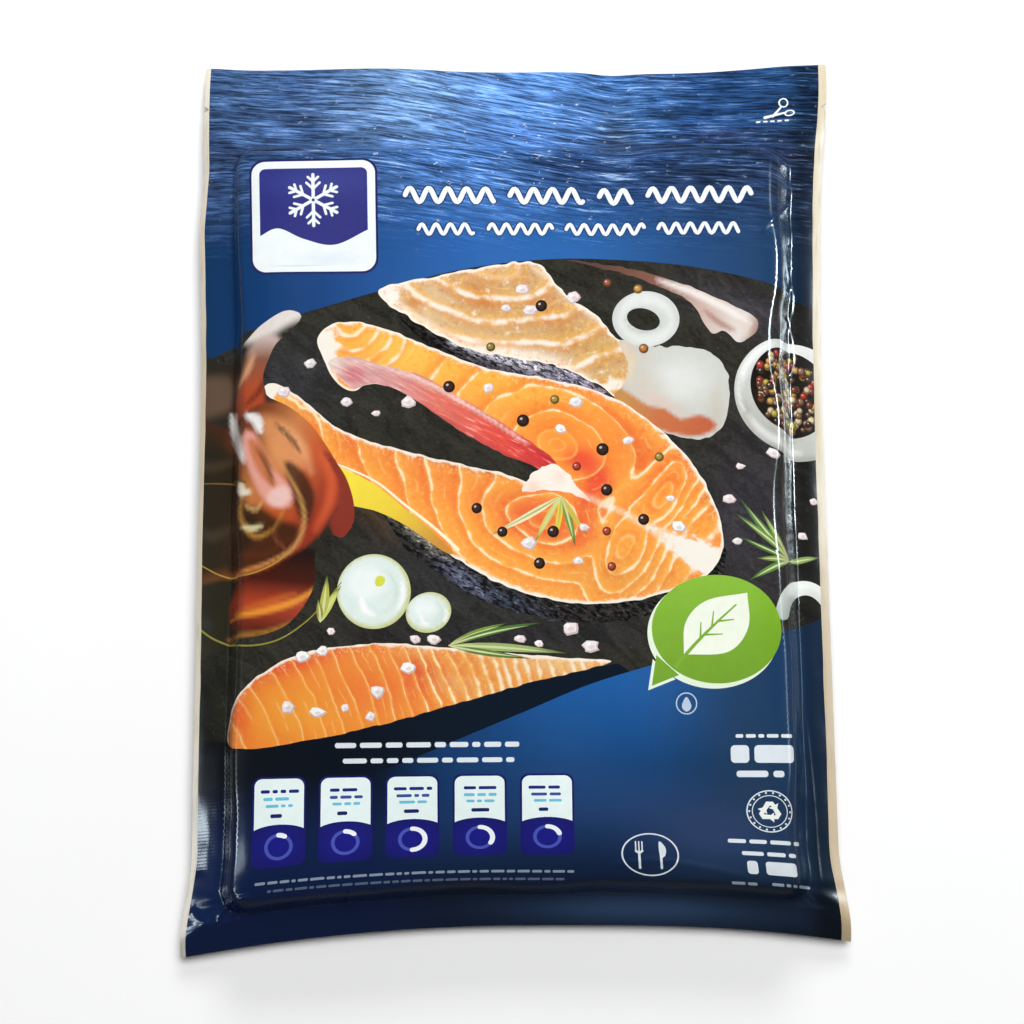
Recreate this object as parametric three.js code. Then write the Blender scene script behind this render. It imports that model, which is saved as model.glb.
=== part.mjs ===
// A sealed flat pouch of frozen fish steaks, filled and lying on its back with the printed front up.
// Millimetres, +Z up. +X is the pouch's right side seen from the front and +Y its top, where the tear
// notches are. The origin is on the surface that it rests on, under the middle of the pouch.
import * as THREE from "three";
import { mergeVertices } from "three/addons/utils/BufferGeometryUtils.js";

// Driving dimensions
const POUCH_WIDTH = 250; // across the welded ends, where the film lies flat
const POUCH_LENGTH = 352; // from the top corners to the lower of the two bottom corners
const THICKNESS = 28; // of the filled body, without its slight crown
const SEAM_HEIGHT = 11.5; // top face of the welded seam, where the front film leaves it
const WELD_THICKNESS = 0.8; // front and back film welded together

// Welded borders round the filled body, and how far the front film runs in plan to climb each side
const LEFT_WELD = 13;
const RIGHT_WELD = 12;
const TOP_WELD = 34;
const BOTTOM_WELD = 11;
const LEFT_CLIMB = 7;
const RIGHT_CLIMB = 10;
const TOP_CLIMB = 10;
const BOTTOM_CLIMB = 6;
const BACK_CLIMB = 10; // the back film, on every side
const CORNER_RADIUS = 14; // of the filled body in plan, at the seam

// Shares of the climb that are rounded: tightly at the seam, softly at the shoulder
const SEAM_ROUNDING = 0.22;
const SHOULDER_ROUNDING = 0.62;

// How filling draws the film in
const SIDE_PULL = 4; // each side edge, in the middle of the pouch's length
const TOP_PULL = 3.6; // top edge, in the middle of its width
const BOTTOM_SHORT = 11; // bottom edge's middle, above the lower corner
const RIGHT_CORNER_LIFT = 4; // bottom right corner, above the bottom left one

// How the welded borders sag towards the surface below them
const SIDE_SAG = 3.5;
const TOP_SAG = 6;
const BOTTOM_SAG = 7;
const HEADER_WAVE = 1.1;
const HEADER_WAVE_LENGTH = 92;

const CROWN = 1.8; // of the front's middle
const UNDULATION = 0.5; // of the steaks under the film
const UNDULATION_LENGTH = 96;

const NOTCH_DEPTH = 2;
const NOTCH_HALF_WIDTH = 1.5;
const NOTCH_BELOW_TOP = 19;

// Longest facets, on the body's corners and between them
const CORNER_STEP = 4;
const MIDDLE_STEP = 15;

// Places worked out from the dimensions, on the film before filling draws it in
const HALF_WIDTH = POUCH_WIDTH / 2;
const HALF_LENGTH = POUCH_LENGTH / 2;
const BODY = {
  left: -HALF_WIDTH + LEFT_WELD,
  right: HALF_WIDTH - RIGHT_WELD,
  bottom: -HALF_LENGTH + BOTTOM_WELD,
  top: HALF_LENGTH - TOP_WELD,
};
const FRONT_CLIMBS = { left: LEFT_CLIMB, right: RIGHT_CLIMB, bottom: BOTTOM_CLIMB, top: TOP_CLIMB };
const BACK_CLIMBS = { left: BACK_CLIMB, right: BACK_CLIMB, bottom: BACK_CLIMB, top: BACK_CLIMB };
const NOTCH_Y = HALF_LENGTH - NOTCH_BELOW_TOP;

const clamp = THREE.MathUtils.clamp;
const smooth = THREE.MathUtils.smoothstep;

// 0 to 1 as t goes from 0 to 1: a straight slope with rounded ends.
function ramp(t) {
  const x = clamp(t, 0, 1);
  const slope = 1 / (1 - SEAM_ROUNDING / 2 - SHOULDER_ROUNDING / 2);
  if (x < SEAM_ROUNDING) return (slope * x * x) / (2 * SEAM_ROUNDING);
  if (x > 1 - SHOULDER_ROUNDING) return 1 - (slope * (1 - x) ** 2) / (2 * SHOULDER_ROUNDING);
  return slope * (x - SEAM_ROUNDING / 2);
}

// How far up the climb a point of the film is: 0 at the seam and outside it, 1 on the flat front or back.
// The seam turns the body's corners on an arc, where the climb goes over from one side's to the next one's.
function climbed(x, y, climbs) {
  const fromLeft = x - BODY.left;
  const fromRight = BODY.right - x;
  const fromBottom = y - BODY.bottom;
  const fromTop = BODY.top - y;
  const overX = Math.max(CORNER_RADIUS - Math.min(fromLeft, fromRight), 0);
  const overY = Math.max(CORNER_RADIUS - Math.min(fromBottom, fromTop), 0);
  const over = Math.hypot(overX, overY);
  if (over === 0) return 1;
  const climbX = fromLeft < fromRight ? climbs.left : climbs.right;
  const climbY = fromBottom < fromTop ? climbs.bottom : climbs.top;
  const climb = (climbX * overX ** 2 + climbY * overY ** 2) / over ** 2;
  return clamp((CORNER_RADIUS - over) / climb, 0, 1);
}

// Where filling moves a point of the flat film to, in plan.
function drawnIn(x, y) {
  const across = x / HALF_WIDTH;
  const along = y / HALF_LENGTH;
  const pull = SIDE_PULL * smooth(1 - along, 0, 0.8) * smooth(1 + along, 0, 0.22);
  const topShort = TOP_PULL * (1 - across ** 4) * (1 + 0.3 * across);
  const cornerDrop =
    across < 0 ? BOTTOM_SHORT * across ** 2 : (BOTTOM_SHORT - RIGHT_CORNER_LIFT) * across ** 3;
  const bottomShort = BOTTOM_SHORT - cornerDrop;
  return [
    x - pull * across,
    y - topShort * smooth(along, 0.4, 1) + bottomShort * smooth(-along, 0.55, 1),
  ];
}

// Height of the welded border's top face.
function borderHeight(x, y) {
  const side = Math.max((BODY.left - x) / LEFT_WELD, (x - BODY.right) / RIGHT_WELD, 0);
  const top = Math.max((y - BODY.top) / TOP_WELD, 0);
  const bottom = Math.max((BODY.bottom - y) / BOTTOM_WELD, 0);
  const sag = Math.hypot(SIDE_SAG * side ** 1.5, TOP_SAG * top ** 1.3, BOTTOM_SAG * bottom ** 1.2);
  const wave = HEADER_WAVE * top * Math.sin((2 * Math.PI * x) / HEADER_WAVE_LENGTH);
  return SEAM_HEIGHT - sag + wave;
}

function frontHeight(x, y) {
  const share = ramp(climbed(x, y, FRONT_CLIMBS));
  const crown = CROWN * (1 - (x / HALF_WIDTH) ** 2) * (1 - (y / HALF_LENGTH) ** 2);
  const wave = (2 * Math.PI) / UNDULATION_LENGTH;
  const undulation = UNDULATION * Math.sin(wave * (x + 0.4 * y)) * Math.cos(wave * (y - 0.2 * x));
  return THREE.MathUtils.lerp(borderHeight(x, y), THICKNESS + crown + undulation, share);
}

function backHeight(x, y) {
  const share = ramp(climbed(x, y, BACK_CLIMBS));
  return (borderHeight(x, y) - WELD_THICKNESS) * (1 - share);
}

// Even steps from one station to another, without the first one.
function evenSteps(from, to, longestStep) {
  const count = Math.ceil((to - from) / longestStep);
  return Array.from({ length: count }, (_, i) => from + ((to - from) * (i + 1)) / count);
}

// Stations inward from one edge of the film: a few on the weld, close together on the climb, and on to
// where the body's corner arc ends.
function edgeStations(weld, climb) {
  const onWeld = [0, 0.33, 0.67].map((share) => share * weld);
  const onClimb = [0, 0.17, 0.34, 0.5, 0.66, 0.83, 1].map((share) => weld + share * climb);
  return [...onWeld, ...onClimb, ...evenSteps(weld + climb, weld + CORNER_RADIUS, CORNER_STEP)];
}

// Stations across the whole film, from its low edge to its high one.
function stations(halfSpan, lowWeld, lowClimb, highWeld, highClimb) {
  const low = edgeStations(lowWeld, lowClimb).map((inward) => inward - halfSpan);
  const high = edgeStations(highWeld, highClimb).map((inward) => halfSpan - inward);
  const middle = evenSteps(low.at(-1), high.at(-1), MIDDLE_STEP).slice(0, -1);
  return [...low, ...middle, ...high.reverse()];
}

const acrossStations = stations(HALF_WIDTH, LEFT_WELD, LEFT_CLIMB, RIGHT_WELD, RIGHT_CLIMB);
const alongStations = [
  ...stations(HALF_LENGTH, BOTTOM_WELD, BOTTOM_CLIMB, TOP_WELD, TOP_CLIMB),
  NOTCH_Y - NOTCH_HALF_WIDTH,
  NOTCH_Y,
  NOTCH_Y + NOTCH_HALF_WIDTH,
].sort((a, b) => a - b);

// A tear notch takes a bite out of both side edges.
function notched(x, y) {
  const atEdge = Math.abs(x) === HALF_WIDTH && y === NOTCH_Y;
  return atEdge ? x - Math.sign(x) * NOTCH_DEPTH : x;
}

// One closed skin: the front film's grid, the back film's grid turned over, and the cut edge between.
function pouchGeometry() {
  const columns = acrossStations.length;
  const rows = alongStations.length;
  const positions = [];
  for (const height of [frontHeight, backHeight]) {
    for (const y of alongStations) {
      for (const station of acrossStations) {
        const x = notched(station, y);
        positions.push(...drawnIn(x, y), height(x, y));
      }
    }
  }
  const index = [];
  const front = (column, row) => row * columns + column;
  const back = (column, row) => rows * columns + front(column, row);
  const quad = (a, b, c, d) => index.push(a, b, c, a, c, d);
  for (let row = 0; row + 1 < rows; row++) {
    for (let column = 0; column + 1 < columns; column++) {
      const corners = [
        [column, row],
        [column + 1, row],
        [column + 1, row + 1],
        [column, row + 1],
      ];
      const x = (acrossStations[column] + acrossStations[column + 1]) / 2;
      const y = (alongStations[row] + alongStations[row + 1]) / 2;
      if (x * y > 0) corners.push(corners.shift()); // so that the diagonal runs along the corner's arc
      const [a, b, c, d] = corners;
      quad(front(...a), front(...b), front(...c), front(...d));
      quad(back(...a), back(...d), back(...c), back(...b));
    }
  }
  const rim = [];
  for (let column = 0; column < columns - 1; column++) rim.push([column, 0]);
  for (let row = 0; row < rows - 1; row++) rim.push([columns - 1, row]);
  for (let column = columns - 1; column > 0; column--) rim.push([column, rows - 1]);
  for (let row = rows - 1; row > 0; row--) rim.push([0, row]);
  rim.forEach((here, i) => {
    const next = rim[(i + 1) % rim.length];
    quad(back(...here), back(...next), front(...next), front(...here));
  });
  const geometry = new THREE.BufferGeometry();
  geometry.setAttribute("position", new THREE.Float32BufferAttribute(positions, 3));
  geometry.setIndex(index);
  const merged = mergeVertices(geometry);
  merged.computeVertexNormals();
  return merged;
}

const printedFilm = new THREE.MeshStandardMaterial({
  name: "printed_film",
  color: 0x1f4f8c,
  roughness: 0.25,
  metalness: 0,
});

const pouch = new THREE.Mesh(pouchGeometry(), printedFilm);
pouch.name = "pouch";

const pack = new THREE.Group();
pack.name = "frozen_fish_pack";
pack.add(pouch);

export default pack;
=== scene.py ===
"""A pouch of frozen fish steaks, lying on its back: the printed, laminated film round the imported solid.

The front film is one mesh. Its triangles follow the outlines of the print, and every field of the print
has colours of its own, so nothing is read from a picture. Lengths are in millimetres up to build_mesh,
which writes metres. x and y are places on the flat film before filling draws it in."""

import math

import bpy
import numpy as np
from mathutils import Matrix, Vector, kdtree
from mathutils.geometry import delaunay_2d_cdt


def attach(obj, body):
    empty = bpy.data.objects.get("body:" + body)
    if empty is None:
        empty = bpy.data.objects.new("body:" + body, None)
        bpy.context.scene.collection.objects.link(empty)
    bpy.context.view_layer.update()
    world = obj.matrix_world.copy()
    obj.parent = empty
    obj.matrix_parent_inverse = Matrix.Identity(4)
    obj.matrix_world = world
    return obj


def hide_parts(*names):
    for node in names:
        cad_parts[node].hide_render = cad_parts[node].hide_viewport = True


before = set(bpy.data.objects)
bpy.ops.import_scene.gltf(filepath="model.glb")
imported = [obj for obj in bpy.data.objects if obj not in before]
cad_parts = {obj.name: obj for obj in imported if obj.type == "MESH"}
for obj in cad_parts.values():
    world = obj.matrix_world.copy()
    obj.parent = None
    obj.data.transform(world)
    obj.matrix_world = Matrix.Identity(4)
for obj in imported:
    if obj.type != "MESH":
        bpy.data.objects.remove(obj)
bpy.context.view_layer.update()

# ---------------------------------------------------------------- the pouch's own sizes, as packed
HALF_WIDTH, HALF_LENGTH = 125.0, 176.0
THICKNESS, SEAM_HEIGHT, WELD_THICKNESS = 28.0, 11.5, 0.8
LEFT_WELD, RIGHT_WELD, TOP_WELD, BOTTOM_WELD = 13.0, 12.0, 34.0, 11.0
LEFT_CLIMB, RIGHT_CLIMB, TOP_CLIMB, BOTTOM_CLIMB, BACK_CLIMB = 7.0, 10.0, 10.0, 6.0, 10.0
CORNER_RADIUS = 14.0
SEAM_ROUNDING, SHOULDER_ROUNDING = 0.22, 0.62
SIDE_PULL, TOP_PULL, BOTTOM_SHORT, RIGHT_CORNER_LIFT = 4.0, 3.6, 11.0, 4.0
SIDE_SAG, TOP_SAG, BOTTOM_SAG = 3.5, 6.0, 7.0
HEADER_WAVE, HEADER_WAVE_LENGTH = 1.1, 92.0
CROWN, UNDULATION, UNDULATION_LENGTH = 1.8, 0.5, 96.0
NOTCH_DEPTH, NOTCH_HALF_WIDTH, NOTCH_Y = 2.0, 1.5, 157.0
LEFT, RIGHT = -HALF_WIDTH + LEFT_WELD, HALF_WIDTH - RIGHT_WELD
BOTTOM, TOP = -HALF_LENGTH + BOTTOM_WELD, HALF_LENGTH - TOP_WELD

GRID = 1.35  # mm between free points of the front film
BACK_GRID = 4.0
TAU = 2 * math.pi

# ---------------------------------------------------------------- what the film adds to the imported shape
CLIMB_UNEVENNESS, SEAM_WANDER = 0.24, 0.5
# How far the shoulders round down towards each side, and how far in from the seam that reaches
SHOULDERS = {"left": (6, 8), "right": (9, 6.5), "bottom": (8, 7), "top": (5, 6)}
LARGEST_SHOULDER_DROP = 11
# Corrections of the outline: rise, middle and half width of the top edge's swell and dip, how much higher
# the bottom edge is, and how far the top corners lean to the right
TOP_BUMPS = ((1.8, -42, 30), (-1.5, 41, 11))
BOTTOM_LIFT = 0.8
LEFT_LEAN, RIGHT_LEAN = 2.6, 3.0
# Heights of dents and folds
BROAD_DENT, SMALL_DENT = 0.22, 0.07  # on the flat front
FOLD, FINE_FOLD = 0.34, 0.12  # on the climbs
WELD_WAVE, WELD_RIPPLE = 0.3, 0.1
BOTTOM_FOLD = 0.3  # on the bottom climb
WELD_CURL = 0.9  # of the left weld's edge, near its lower end
TOP_FAN, BOTTOM_FAN = 0.16, 0.32  # out of the body's corners


def smooth(value, low, high):
    t = np.clip((value - low) / (high - low), 0, 1)
    return t * t * (3 - 2 * t)


def ramp(t):
    """0 to 1 as t goes from 0 to 1: a straight slope with rounded ends."""
    t = np.clip(t, 0, 1)
    slope = 1 / (1 - SEAM_ROUNDING / 2 - SHOULDER_ROUNDING / 2)
    start = slope * t**2 / (2 * SEAM_ROUNDING)
    end = 1 - slope * (1 - t) ** 2 / (2 * SHOULDER_ROUNDING)
    middle = slope * (t - SEAM_ROUNDING / 2)
    return np.where(t < SEAM_ROUNDING, start, np.where(t > 1 - SHOULDER_ROUNDING, end, middle))


def climbed(x, y, left, right, bottom, top):
    """How far up the climb a point of the film is: 0 at the seam and outside it, 1 on the flat part."""
    over_x = np.maximum(CORNER_RADIUS - np.minimum(x - LEFT, RIGHT - x), 0)
    over_y = np.maximum(CORNER_RADIUS - np.minimum(y - BOTTOM, TOP - y), 0)
    over = np.hypot(over_x, over_y)
    climb_x = np.where(x - LEFT < RIGHT - x, left, right)
    climb_y = np.where(y - BOTTOM < TOP - y, bottom, top)
    climb = (climb_x * over_x**2 + climb_y * over_y**2) / np.maximum(over, 1e-6) ** 2
    return np.where(over < 1e-6, 1, np.clip((CORNER_RADIUS - over) / np.maximum(climb, 1e-6), 0, 1))


def front_share(x, y):
    """How far the front film has climbed. Like any film, it climbs unevenly."""
    uneven = 1.0 + CLIMB_UNEVENNESS * noise(x, y, 31, 8)
    climbs = [c * uneven for c in (LEFT_CLIMB, RIGHT_CLIMB, BOTTOM_CLIMB + 1, TOP_CLIMB)]
    wander = SEAM_WANDER * noise(x, y, 27, 9)
    return ramp(climbed(x + wander * np.sign(x), y + wander * np.sign(y), *climbs))


def shoulder_drop(x, y):
    """How far the front film rounds down towards the sides, before the climb itself."""
    past = {"left": LEFT - x, "right": x - RIGHT, "bottom": BOTTOM - y, "top": y - TOP}
    drop = sum(np.exp(past[side] / reach) * most for side, (most, reach) in SHOULDERS.items())
    return np.minimum(drop, LARGEST_SHOULDER_DROP)


def drawn_in(x, y):
    across, along = x / HALF_WIDTH, y / HALF_LENGTH
    pull = SIDE_PULL * smooth(1 - along, 0, 0.8) * smooth(1 + along, 0, 0.22)
    top_short = TOP_PULL * (1 - across**4) * (1 + 0.3 * across)
    corner_drop = np.where(
        across < 0, BOTTOM_SHORT * across**2, (BOTTOM_SHORT - RIGHT_CORNER_LIFT) * across**3
    )
    bottom_short = BOTTOM_SHORT - corner_drop
    bumps = sum(rise * glow(x, 0, middle, 0, half, 1) for rise, middle, half in TOP_BUMPS)
    top_lift = (bumps - smooth(x, 105, HALF_WIDTH) - top_short) * smooth(along, 0.4, 1)
    bottom_lift = (bottom_short + BOTTOM_LIFT) * smooth(-along, 0.55, 1)
    lean = LEFT_LEAN * smooth(y, 102, 134) * smooth(-x, 100, HALF_WIDTH)
    lean += RIGHT_LEAN * smooth(y, 122, 174) * smooth(x, 80, HALF_WIDTH)
    return x - pull * across + lean, y + bottom_lift + top_lift


def border_height(x, y):
    side = np.maximum(np.maximum((LEFT - x) / LEFT_WELD, (x - RIGHT) / RIGHT_WELD), 0)
    top = np.maximum((y - TOP) / TOP_WELD, 0)
    bottom = np.maximum((BOTTOM - y) / BOTTOM_WELD, 0)
    sags = (SIDE_SAG * side**1.5) ** 2 + (TOP_SAG * top**1.3) ** 2 + (BOTTOM_SAG * bottom**1.2) ** 2
    return SEAM_HEIGHT - np.sqrt(sags) + HEADER_WAVE * top * np.sin(TAU * x / HEADER_WAVE_LENGTH)


def noise(x, y, cell, seed):
    """Smooth random heights, -1 to 1, with features about that many mm wide."""
    size = 64
    table = np.random.default_rng(seed).uniform(-1, 1, (size, size))
    u, v = x / cell + 31.7, y / cell + 17.3
    i, j = np.floor(u).astype(int), np.floor(v).astype(int)
    fu, fv = (t**3 * (t * (6 * t - 15) + 10) for t in (u - i, v - j))
    a, b, c, d = (table[(i + di) % size, (j + dj) % size] for dj in (0, 1) for di in (0, 1))
    return (a * (1 - fu) + b * fu) * (1 - fv) + (c * (1 - fu) + d * fu) * fv


# Sharp folds of the film: points, height and half width
CREASES = [
    ([(112, 124), (111, 113), (104, 104), (97, 97)], 0.45, 0.9),  # over the top right corner
    ([(112.5, 104), (110, 91), (113, 76), (111.5, 64)], 0.5, 0.8),  # down the right side
    ([(111.5, 66), (113, 50), (109.5, 36), (110.5, 20)], 0.5, 0.8),
    ([(107.5, 66), (106, 44), (107.5, 20)], 0.4, 0.8),
    ([(113, -84), (115, -112), (116, -138), (115.4, -158)], 0.22, 0.8),
    ([(-111.5, -166), (-109.4, -161), (-104.5, -157.5), (-97, -157.2)], 0.9, 1.1),  # bottom left corner
    ([(-123, -158), (-118, -163), (-112, -167)], 0.5, 1.5),
    ([(104, -153), (108, -158), (112, -163)], 0.45, 0.9),  # bottom right corner
    ([(34, -152), (52, -149), (72, -152), (90, -156)], 0.3, 1.6),  # along the bottom
    ([(111, 176), (110, 168), (108.5, 158)], 0.45, 1.4),  # across the header
]


def spline(points, step=1.3, closed=False):
    """A smooth line through the points, with a point about every step mm."""
    p = np.array(points, float)
    ends = (p[-1], p[0], p[1]) if closed else (2 * p[0] - p[1], 2 * p[-1] - p[-2])
    p = np.vstack([ends[0], p, *ends[1:]])
    line = []
    for a, b, c, d in zip(p, p[1:], p[2:], p[3:]):
        count = max(2, int(np.linalg.norm(c - b) / step))
        t = np.linspace(0, 1, count, endpoint=False)[:, None]
        line.append(b + t / 2 * (c - a + t * (2 * a - 5 * b + 4 * c - d + t * (3 * (b - c) + d - a))))
    if not closed:
        line.append(p[-2][None])
    return np.vstack(line)


def distance_to(line, x, y, closed=False):
    """Distance of each point from the nearest part of a line."""
    a = line if closed else line[:-1]
    b = np.roll(line, -1, 0) if closed else line[1:]
    best = np.full(x.shape, 1e9)
    for (ax, ay), (bx, by) in zip(a, b):
        dx, dy = bx - ax, by - ay
        t = np.clip(((x - ax) * dx + (y - ay) * dy) / max(dx * dx + dy * dy, 1e-9), 0, 1)
        best = np.minimum(best, np.hypot(x - ax - t * dx, y - ay - t * dy))
    return best


def share_along(line, x, y):
    """How far along a line's span each point is, from 0 at its start to 1 at its end."""
    way = line[-1] - line[0]
    return ((x - line[0][0]) * way[0] + (y - line[0][1]) * way[1]) / (way @ way)


def glow(x, y, cx, cy, rx, ry=None, turn=0):
    """1 at a spot's middle and falling off softly."""
    c, s = math.cos(math.radians(turn)), math.sin(math.radians(turn))
    u, v = (x - cx) * c + (y - cy) * s, (y - cy) * c - (x - cx) * s
    return np.exp(-((u / rx) ** 2) - (v / (ry or rx)) ** 2)


def wrinkles(x, y):
    """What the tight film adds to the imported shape."""
    share = front_share(x, y)
    on_climb = 4 * share * (1 - share)
    outside = 1 - smooth(share, 0, 0.2)
    height = share * (BROAD_DENT * noise(x, y, 41, 1) + SMALL_DENT * noise(x, y, 15, 2))
    sideways = smooth(np.abs(x) / HALF_WIDTH - np.abs(y) / HALF_LENGTH, -0.05, 0.05)
    across, down = noise(x, y * 0.3, 8, 3), noise(x * 0.3, y, 8, 4)  # folds run square to each side
    pinched = FOLD + 0.5 * glow(x, y, 112, 62, 16, 46) + 0.3 * glow(x, y, 60, -154, 60, 10)
    height += on_climb * pinched * (across + (down - across) * sideways)
    height += on_climb * FINE_FOLD * noise(x, y, 4.2, 10)
    edge_fade = smooth(HALF_WIDTH - np.abs(x), 0, 6) * 0.8 + 0.2
    waves = WELD_WAVE * noise(x, y * 0.6, 19, 5) + WELD_RIPPLE * noise(x, y, 6.5, 6)
    height += outside * edge_fade * waves
    near_bottom = glow(0, y, 0, -160, 1, 9) * smooth(HALF_WIDTH - 24 - np.abs(x), -8, 12)
    height += BOTTOM_FOLD * near_bottom * noise(x, y * 0.25 + x * 0.12, 11, 7)
    curl = smooth(-y, 114, 130) * smooth(y, -147, -144)  # the left weld's edge bends down here
    height -= WELD_CURL * smooth(LEFT - x, 5, LEFT_WELD) * curl
    for side, end in ((-1, -1), (1, -1), (-1, 1), (1, 1)):  # folds that fan out of the body's corners
        cx = (RIGHT if side > 0 else LEFT) - side * 8
        cy = (TOP if end > 0 else BOTTOM) - end * 8
        turn = np.arctan2((y - cy) * end, (x - cx) * side)
        fan = glow(np.hypot(x - cx, y - cy), 0, 13, 0, 8)
        fan *= smooth(turn, -0.5, 0.1) * smooth(2.07 - turn, 0, 0.6)
        height += (TOP_FAN if end > 0 else BOTTOM_FAN) * fan * np.sin(turn * 9 + side + 2 * end)
    for points, rise, half in CREASES:
        line = spline(points, 4)
        t = share_along(line, x, y)
        taper = smooth(t, -0.02, 0.15) * smooth(1.02 - t, 0, 0.17)
        height += rise * taper * np.exp(-((distance_to(line, x, y) / half) ** 2))
    return height


def front_place(x, y):
    share = front_share(x, y)
    crown = CROWN * (1 - (x / HALF_WIDTH) ** 2) * (1 - (y / HALF_LENGTH) ** 2)
    wave = TAU / UNDULATION_LENGTH
    undulation = UNDULATION * np.sin(wave * (x + 0.4 * y)) * np.cos(wave * (y - 0.2 * x))
    border = border_height(x, y)
    top = THICKNESS + crown + undulation - shoulder_drop(x, y)
    z = border + (top - border) * share + wrinkles(x, y)
    return np.stack([*drawn_in(x, y), z], -1)


def back_place(x, y):
    share = ramp(climbed(x, y, *[BACK_CLIMB] * 4))
    # Wherever the front film is welded to it, the back one has the same wrinkles.
    z = (border_height(x, y) - WELD_THICKNESS + wrinkles(x, y) * (1 - front_share(x, y))) * (1 - share)
    return np.stack([*drawn_in(x, y), z], -1)


def normals_of(place, x, y, step=0.2):
    along_x = place(x + step, y) - place(x - step, y)
    along_y = place(x, y + step) - place(x, y - step)
    normal = np.cross(along_x, along_y)
    return normal / np.linalg.norm(normal, axis=1, keepdims=True)


# ---------------------------------------------------------------- outlines of the print
def ellipse(cx, cy, rx, ry=None, turn=0, step=1.2, start=0, end=360):
    ry = rx if ry is None else ry
    count = max(10, int(math.pi * (rx + ry) * abs(end - start) / 360 / step))
    t = np.radians(np.linspace(start, end, count, endpoint=abs(end - start) < 360))
    c, s = math.cos(math.radians(turn)), math.sin(math.radians(turn))
    u, v = rx * np.cos(t), ry * np.sin(t)
    return np.stack([cx + u * c - v * s, cy + u * s + v * c], 1)


def along(outline, step=1.3):
    """The closed outline with more points on its long sides."""
    out = []
    outline = np.array(outline, float)
    for a, b in zip(outline, np.roll(outline, -1, 0)):
        count = max(1, int(np.linalg.norm(b - a) / step))
        out.append(a + (b - a) * np.linspace(0, 1, count, endpoint=False)[:, None])
    return np.vstack(out)


def rounded(x0, y0, x1, y1, r, step=1.5):
    """A rectangle with round corners."""
    corners = [(x1 - r, y1 - r, 0), (x0 + r, y1 - r, 90), (x0 + r, y0 + r, 180), (x1 - r, y0 + r, 270)]
    arcs = [ellipse(cx, cy, r, start=a, end=a + 90, step=max(r / 4, 0.25)) for cx, cy, a in corners]
    return along(np.vstack(arcs), step)


def ragged(points, reach, seed, cell=3.0):
    """A closed smooth outline with small random wobbles."""
    line = spline(points, 1.0, closed=True)
    x, y = line.T
    return line + reach * np.stack([noise(x, y, cell, seed), noise(x, y, cell, seed + 1)], 1)


def stroke(points, width, step=1.0, smooth_line=True):
    """The outline of a line with round ends. width is one number, or one for each end of the line."""
    line = spline(points, step) if smooth_line else np.array(points, float)
    way = np.gradient(line, axis=0)
    way /= np.linalg.norm(way, axis=1, keepdims=True)
    side = np.stack([-way[:, 1], way[:, 0]], 1)
    half = np.linspace(*(width if isinstance(width, tuple) else (width, width)), len(line))[:, None] / 2
    cap = np.radians([-54, -18, 18, 54])[:, None]
    end = line[-1] + half[-1] * (np.cos(cap) * way[-1] + np.sin(cap) * side[-1])
    start = line[0] - half[0] * (np.cos(cap) * way[0] + np.sin(cap) * side[0])
    return np.vstack([(line - side * half), end, (line + side * half)[::-1], start])


def needle(base, angle, length, width, bend=0.0):
    """A rosemary leaf: pointed at both ends, widest past its middle."""
    t = np.linspace(0, 1, 9)
    c, s = math.cos(math.radians(angle)), math.sin(math.radians(angle))
    u, v = length * t, bend * length * t * (1 - t)
    half = width / 2 * np.sin(math.pi * t**0.8)
    sides = [(u, v + half), (u[-2:0:-1], (v - half)[-2:0:-1])]
    return np.vstack([np.stack([base[0] + p * c - q * s, base[1] + p * s + q * c], 1) for p, q in sides])


def inside(outlines, x, y):
    """Which points the outlines enclose an odd number of times."""
    odd = np.zeros(len(x), bool)
    for line in outlines:
        for (ax, ay), (bx, by) in zip(line, np.roll(line, -1, 0)):
            if ay == by:
                continue
            rows = (y >= min(ay, by)) & (y < max(ay, by))
            odd[rows] ^= x[rows] < ax + (bx - ax) * (y[rows] - ay) / (by - ay)
    return odd


# ---------------------------------------------------------------- colours
def linear(code):
    """A colour written as six hex digits, as linear light."""
    c = np.array([int(code[i : i + 2], 16) for i in (0, 2, 4)]) / 255
    return np.where(c <= 0.04045, c / 12.92, ((c + 0.055) / 1.055) ** 2.4)


def mix(a, b, t):
    return a + (b - a) * np.asarray(t)[..., None]


def blend(t, *stops):
    """Colour at t between (position, colour) stops."""
    at = [s for s, _ in stops]
    colours = np.array([linear(c) for _, c in stops])
    return np.stack([np.interp(t, at, colours[:, k]) for k in range(3)], -1)


def as_paint(paint):
    """A paint is a function of place; a colour code stands for that colour everywhere."""
    return (lambda x, y: np.tile(linear(paint), (len(x), 1))) if isinstance(paint, str) else paint


def spotted(colour, x, y, marks):
    """The colour with soft spots over it: colour code, strength, cx, cy, rx, ry, turn."""
    for code, strength, *place in marks:
        colour = mix(colour, linear(code), strength * glow(x, y, *place))
    return colour


def spots(base, *marks):
    """A paint: a base with soft spots over it."""
    return lambda x, y: spotted(as_paint(base)(x, y), x, y, marks)


def graded(angle, start, end, *stops):
    """A paint that changes in one direction, in degrees, between two distances in mm."""
    c, s = math.cos(math.radians(angle)), math.sin(math.radians(angle))
    return lambda x, y: blend((x * c + y * s - start) / (end - start), *stops)


def soft(points, blur):
    """How far each point is inside a blurred shape."""
    shape = spline(points, 2.5, closed=True)

    def weight(x, y):
        away = distance_to(shape, x, y, closed=True)
        return smooth(np.where(inside([shape], x, y), away, -away), -blur, blur)

    return weight


def soft_line(points, width, blur):
    """How near each point is to a blurred line that tapers at its ends."""
    line = spline(points, 2.5)

    def weight(x, y):
        t = share_along(line, x, y)
        half = width / 2 * np.sqrt(np.clip(4 * t * (1 - t), 0.1, 1))
        return 1 - smooth(distance_to(line, x, y), half - blur, half + blur)

    return weight


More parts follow.
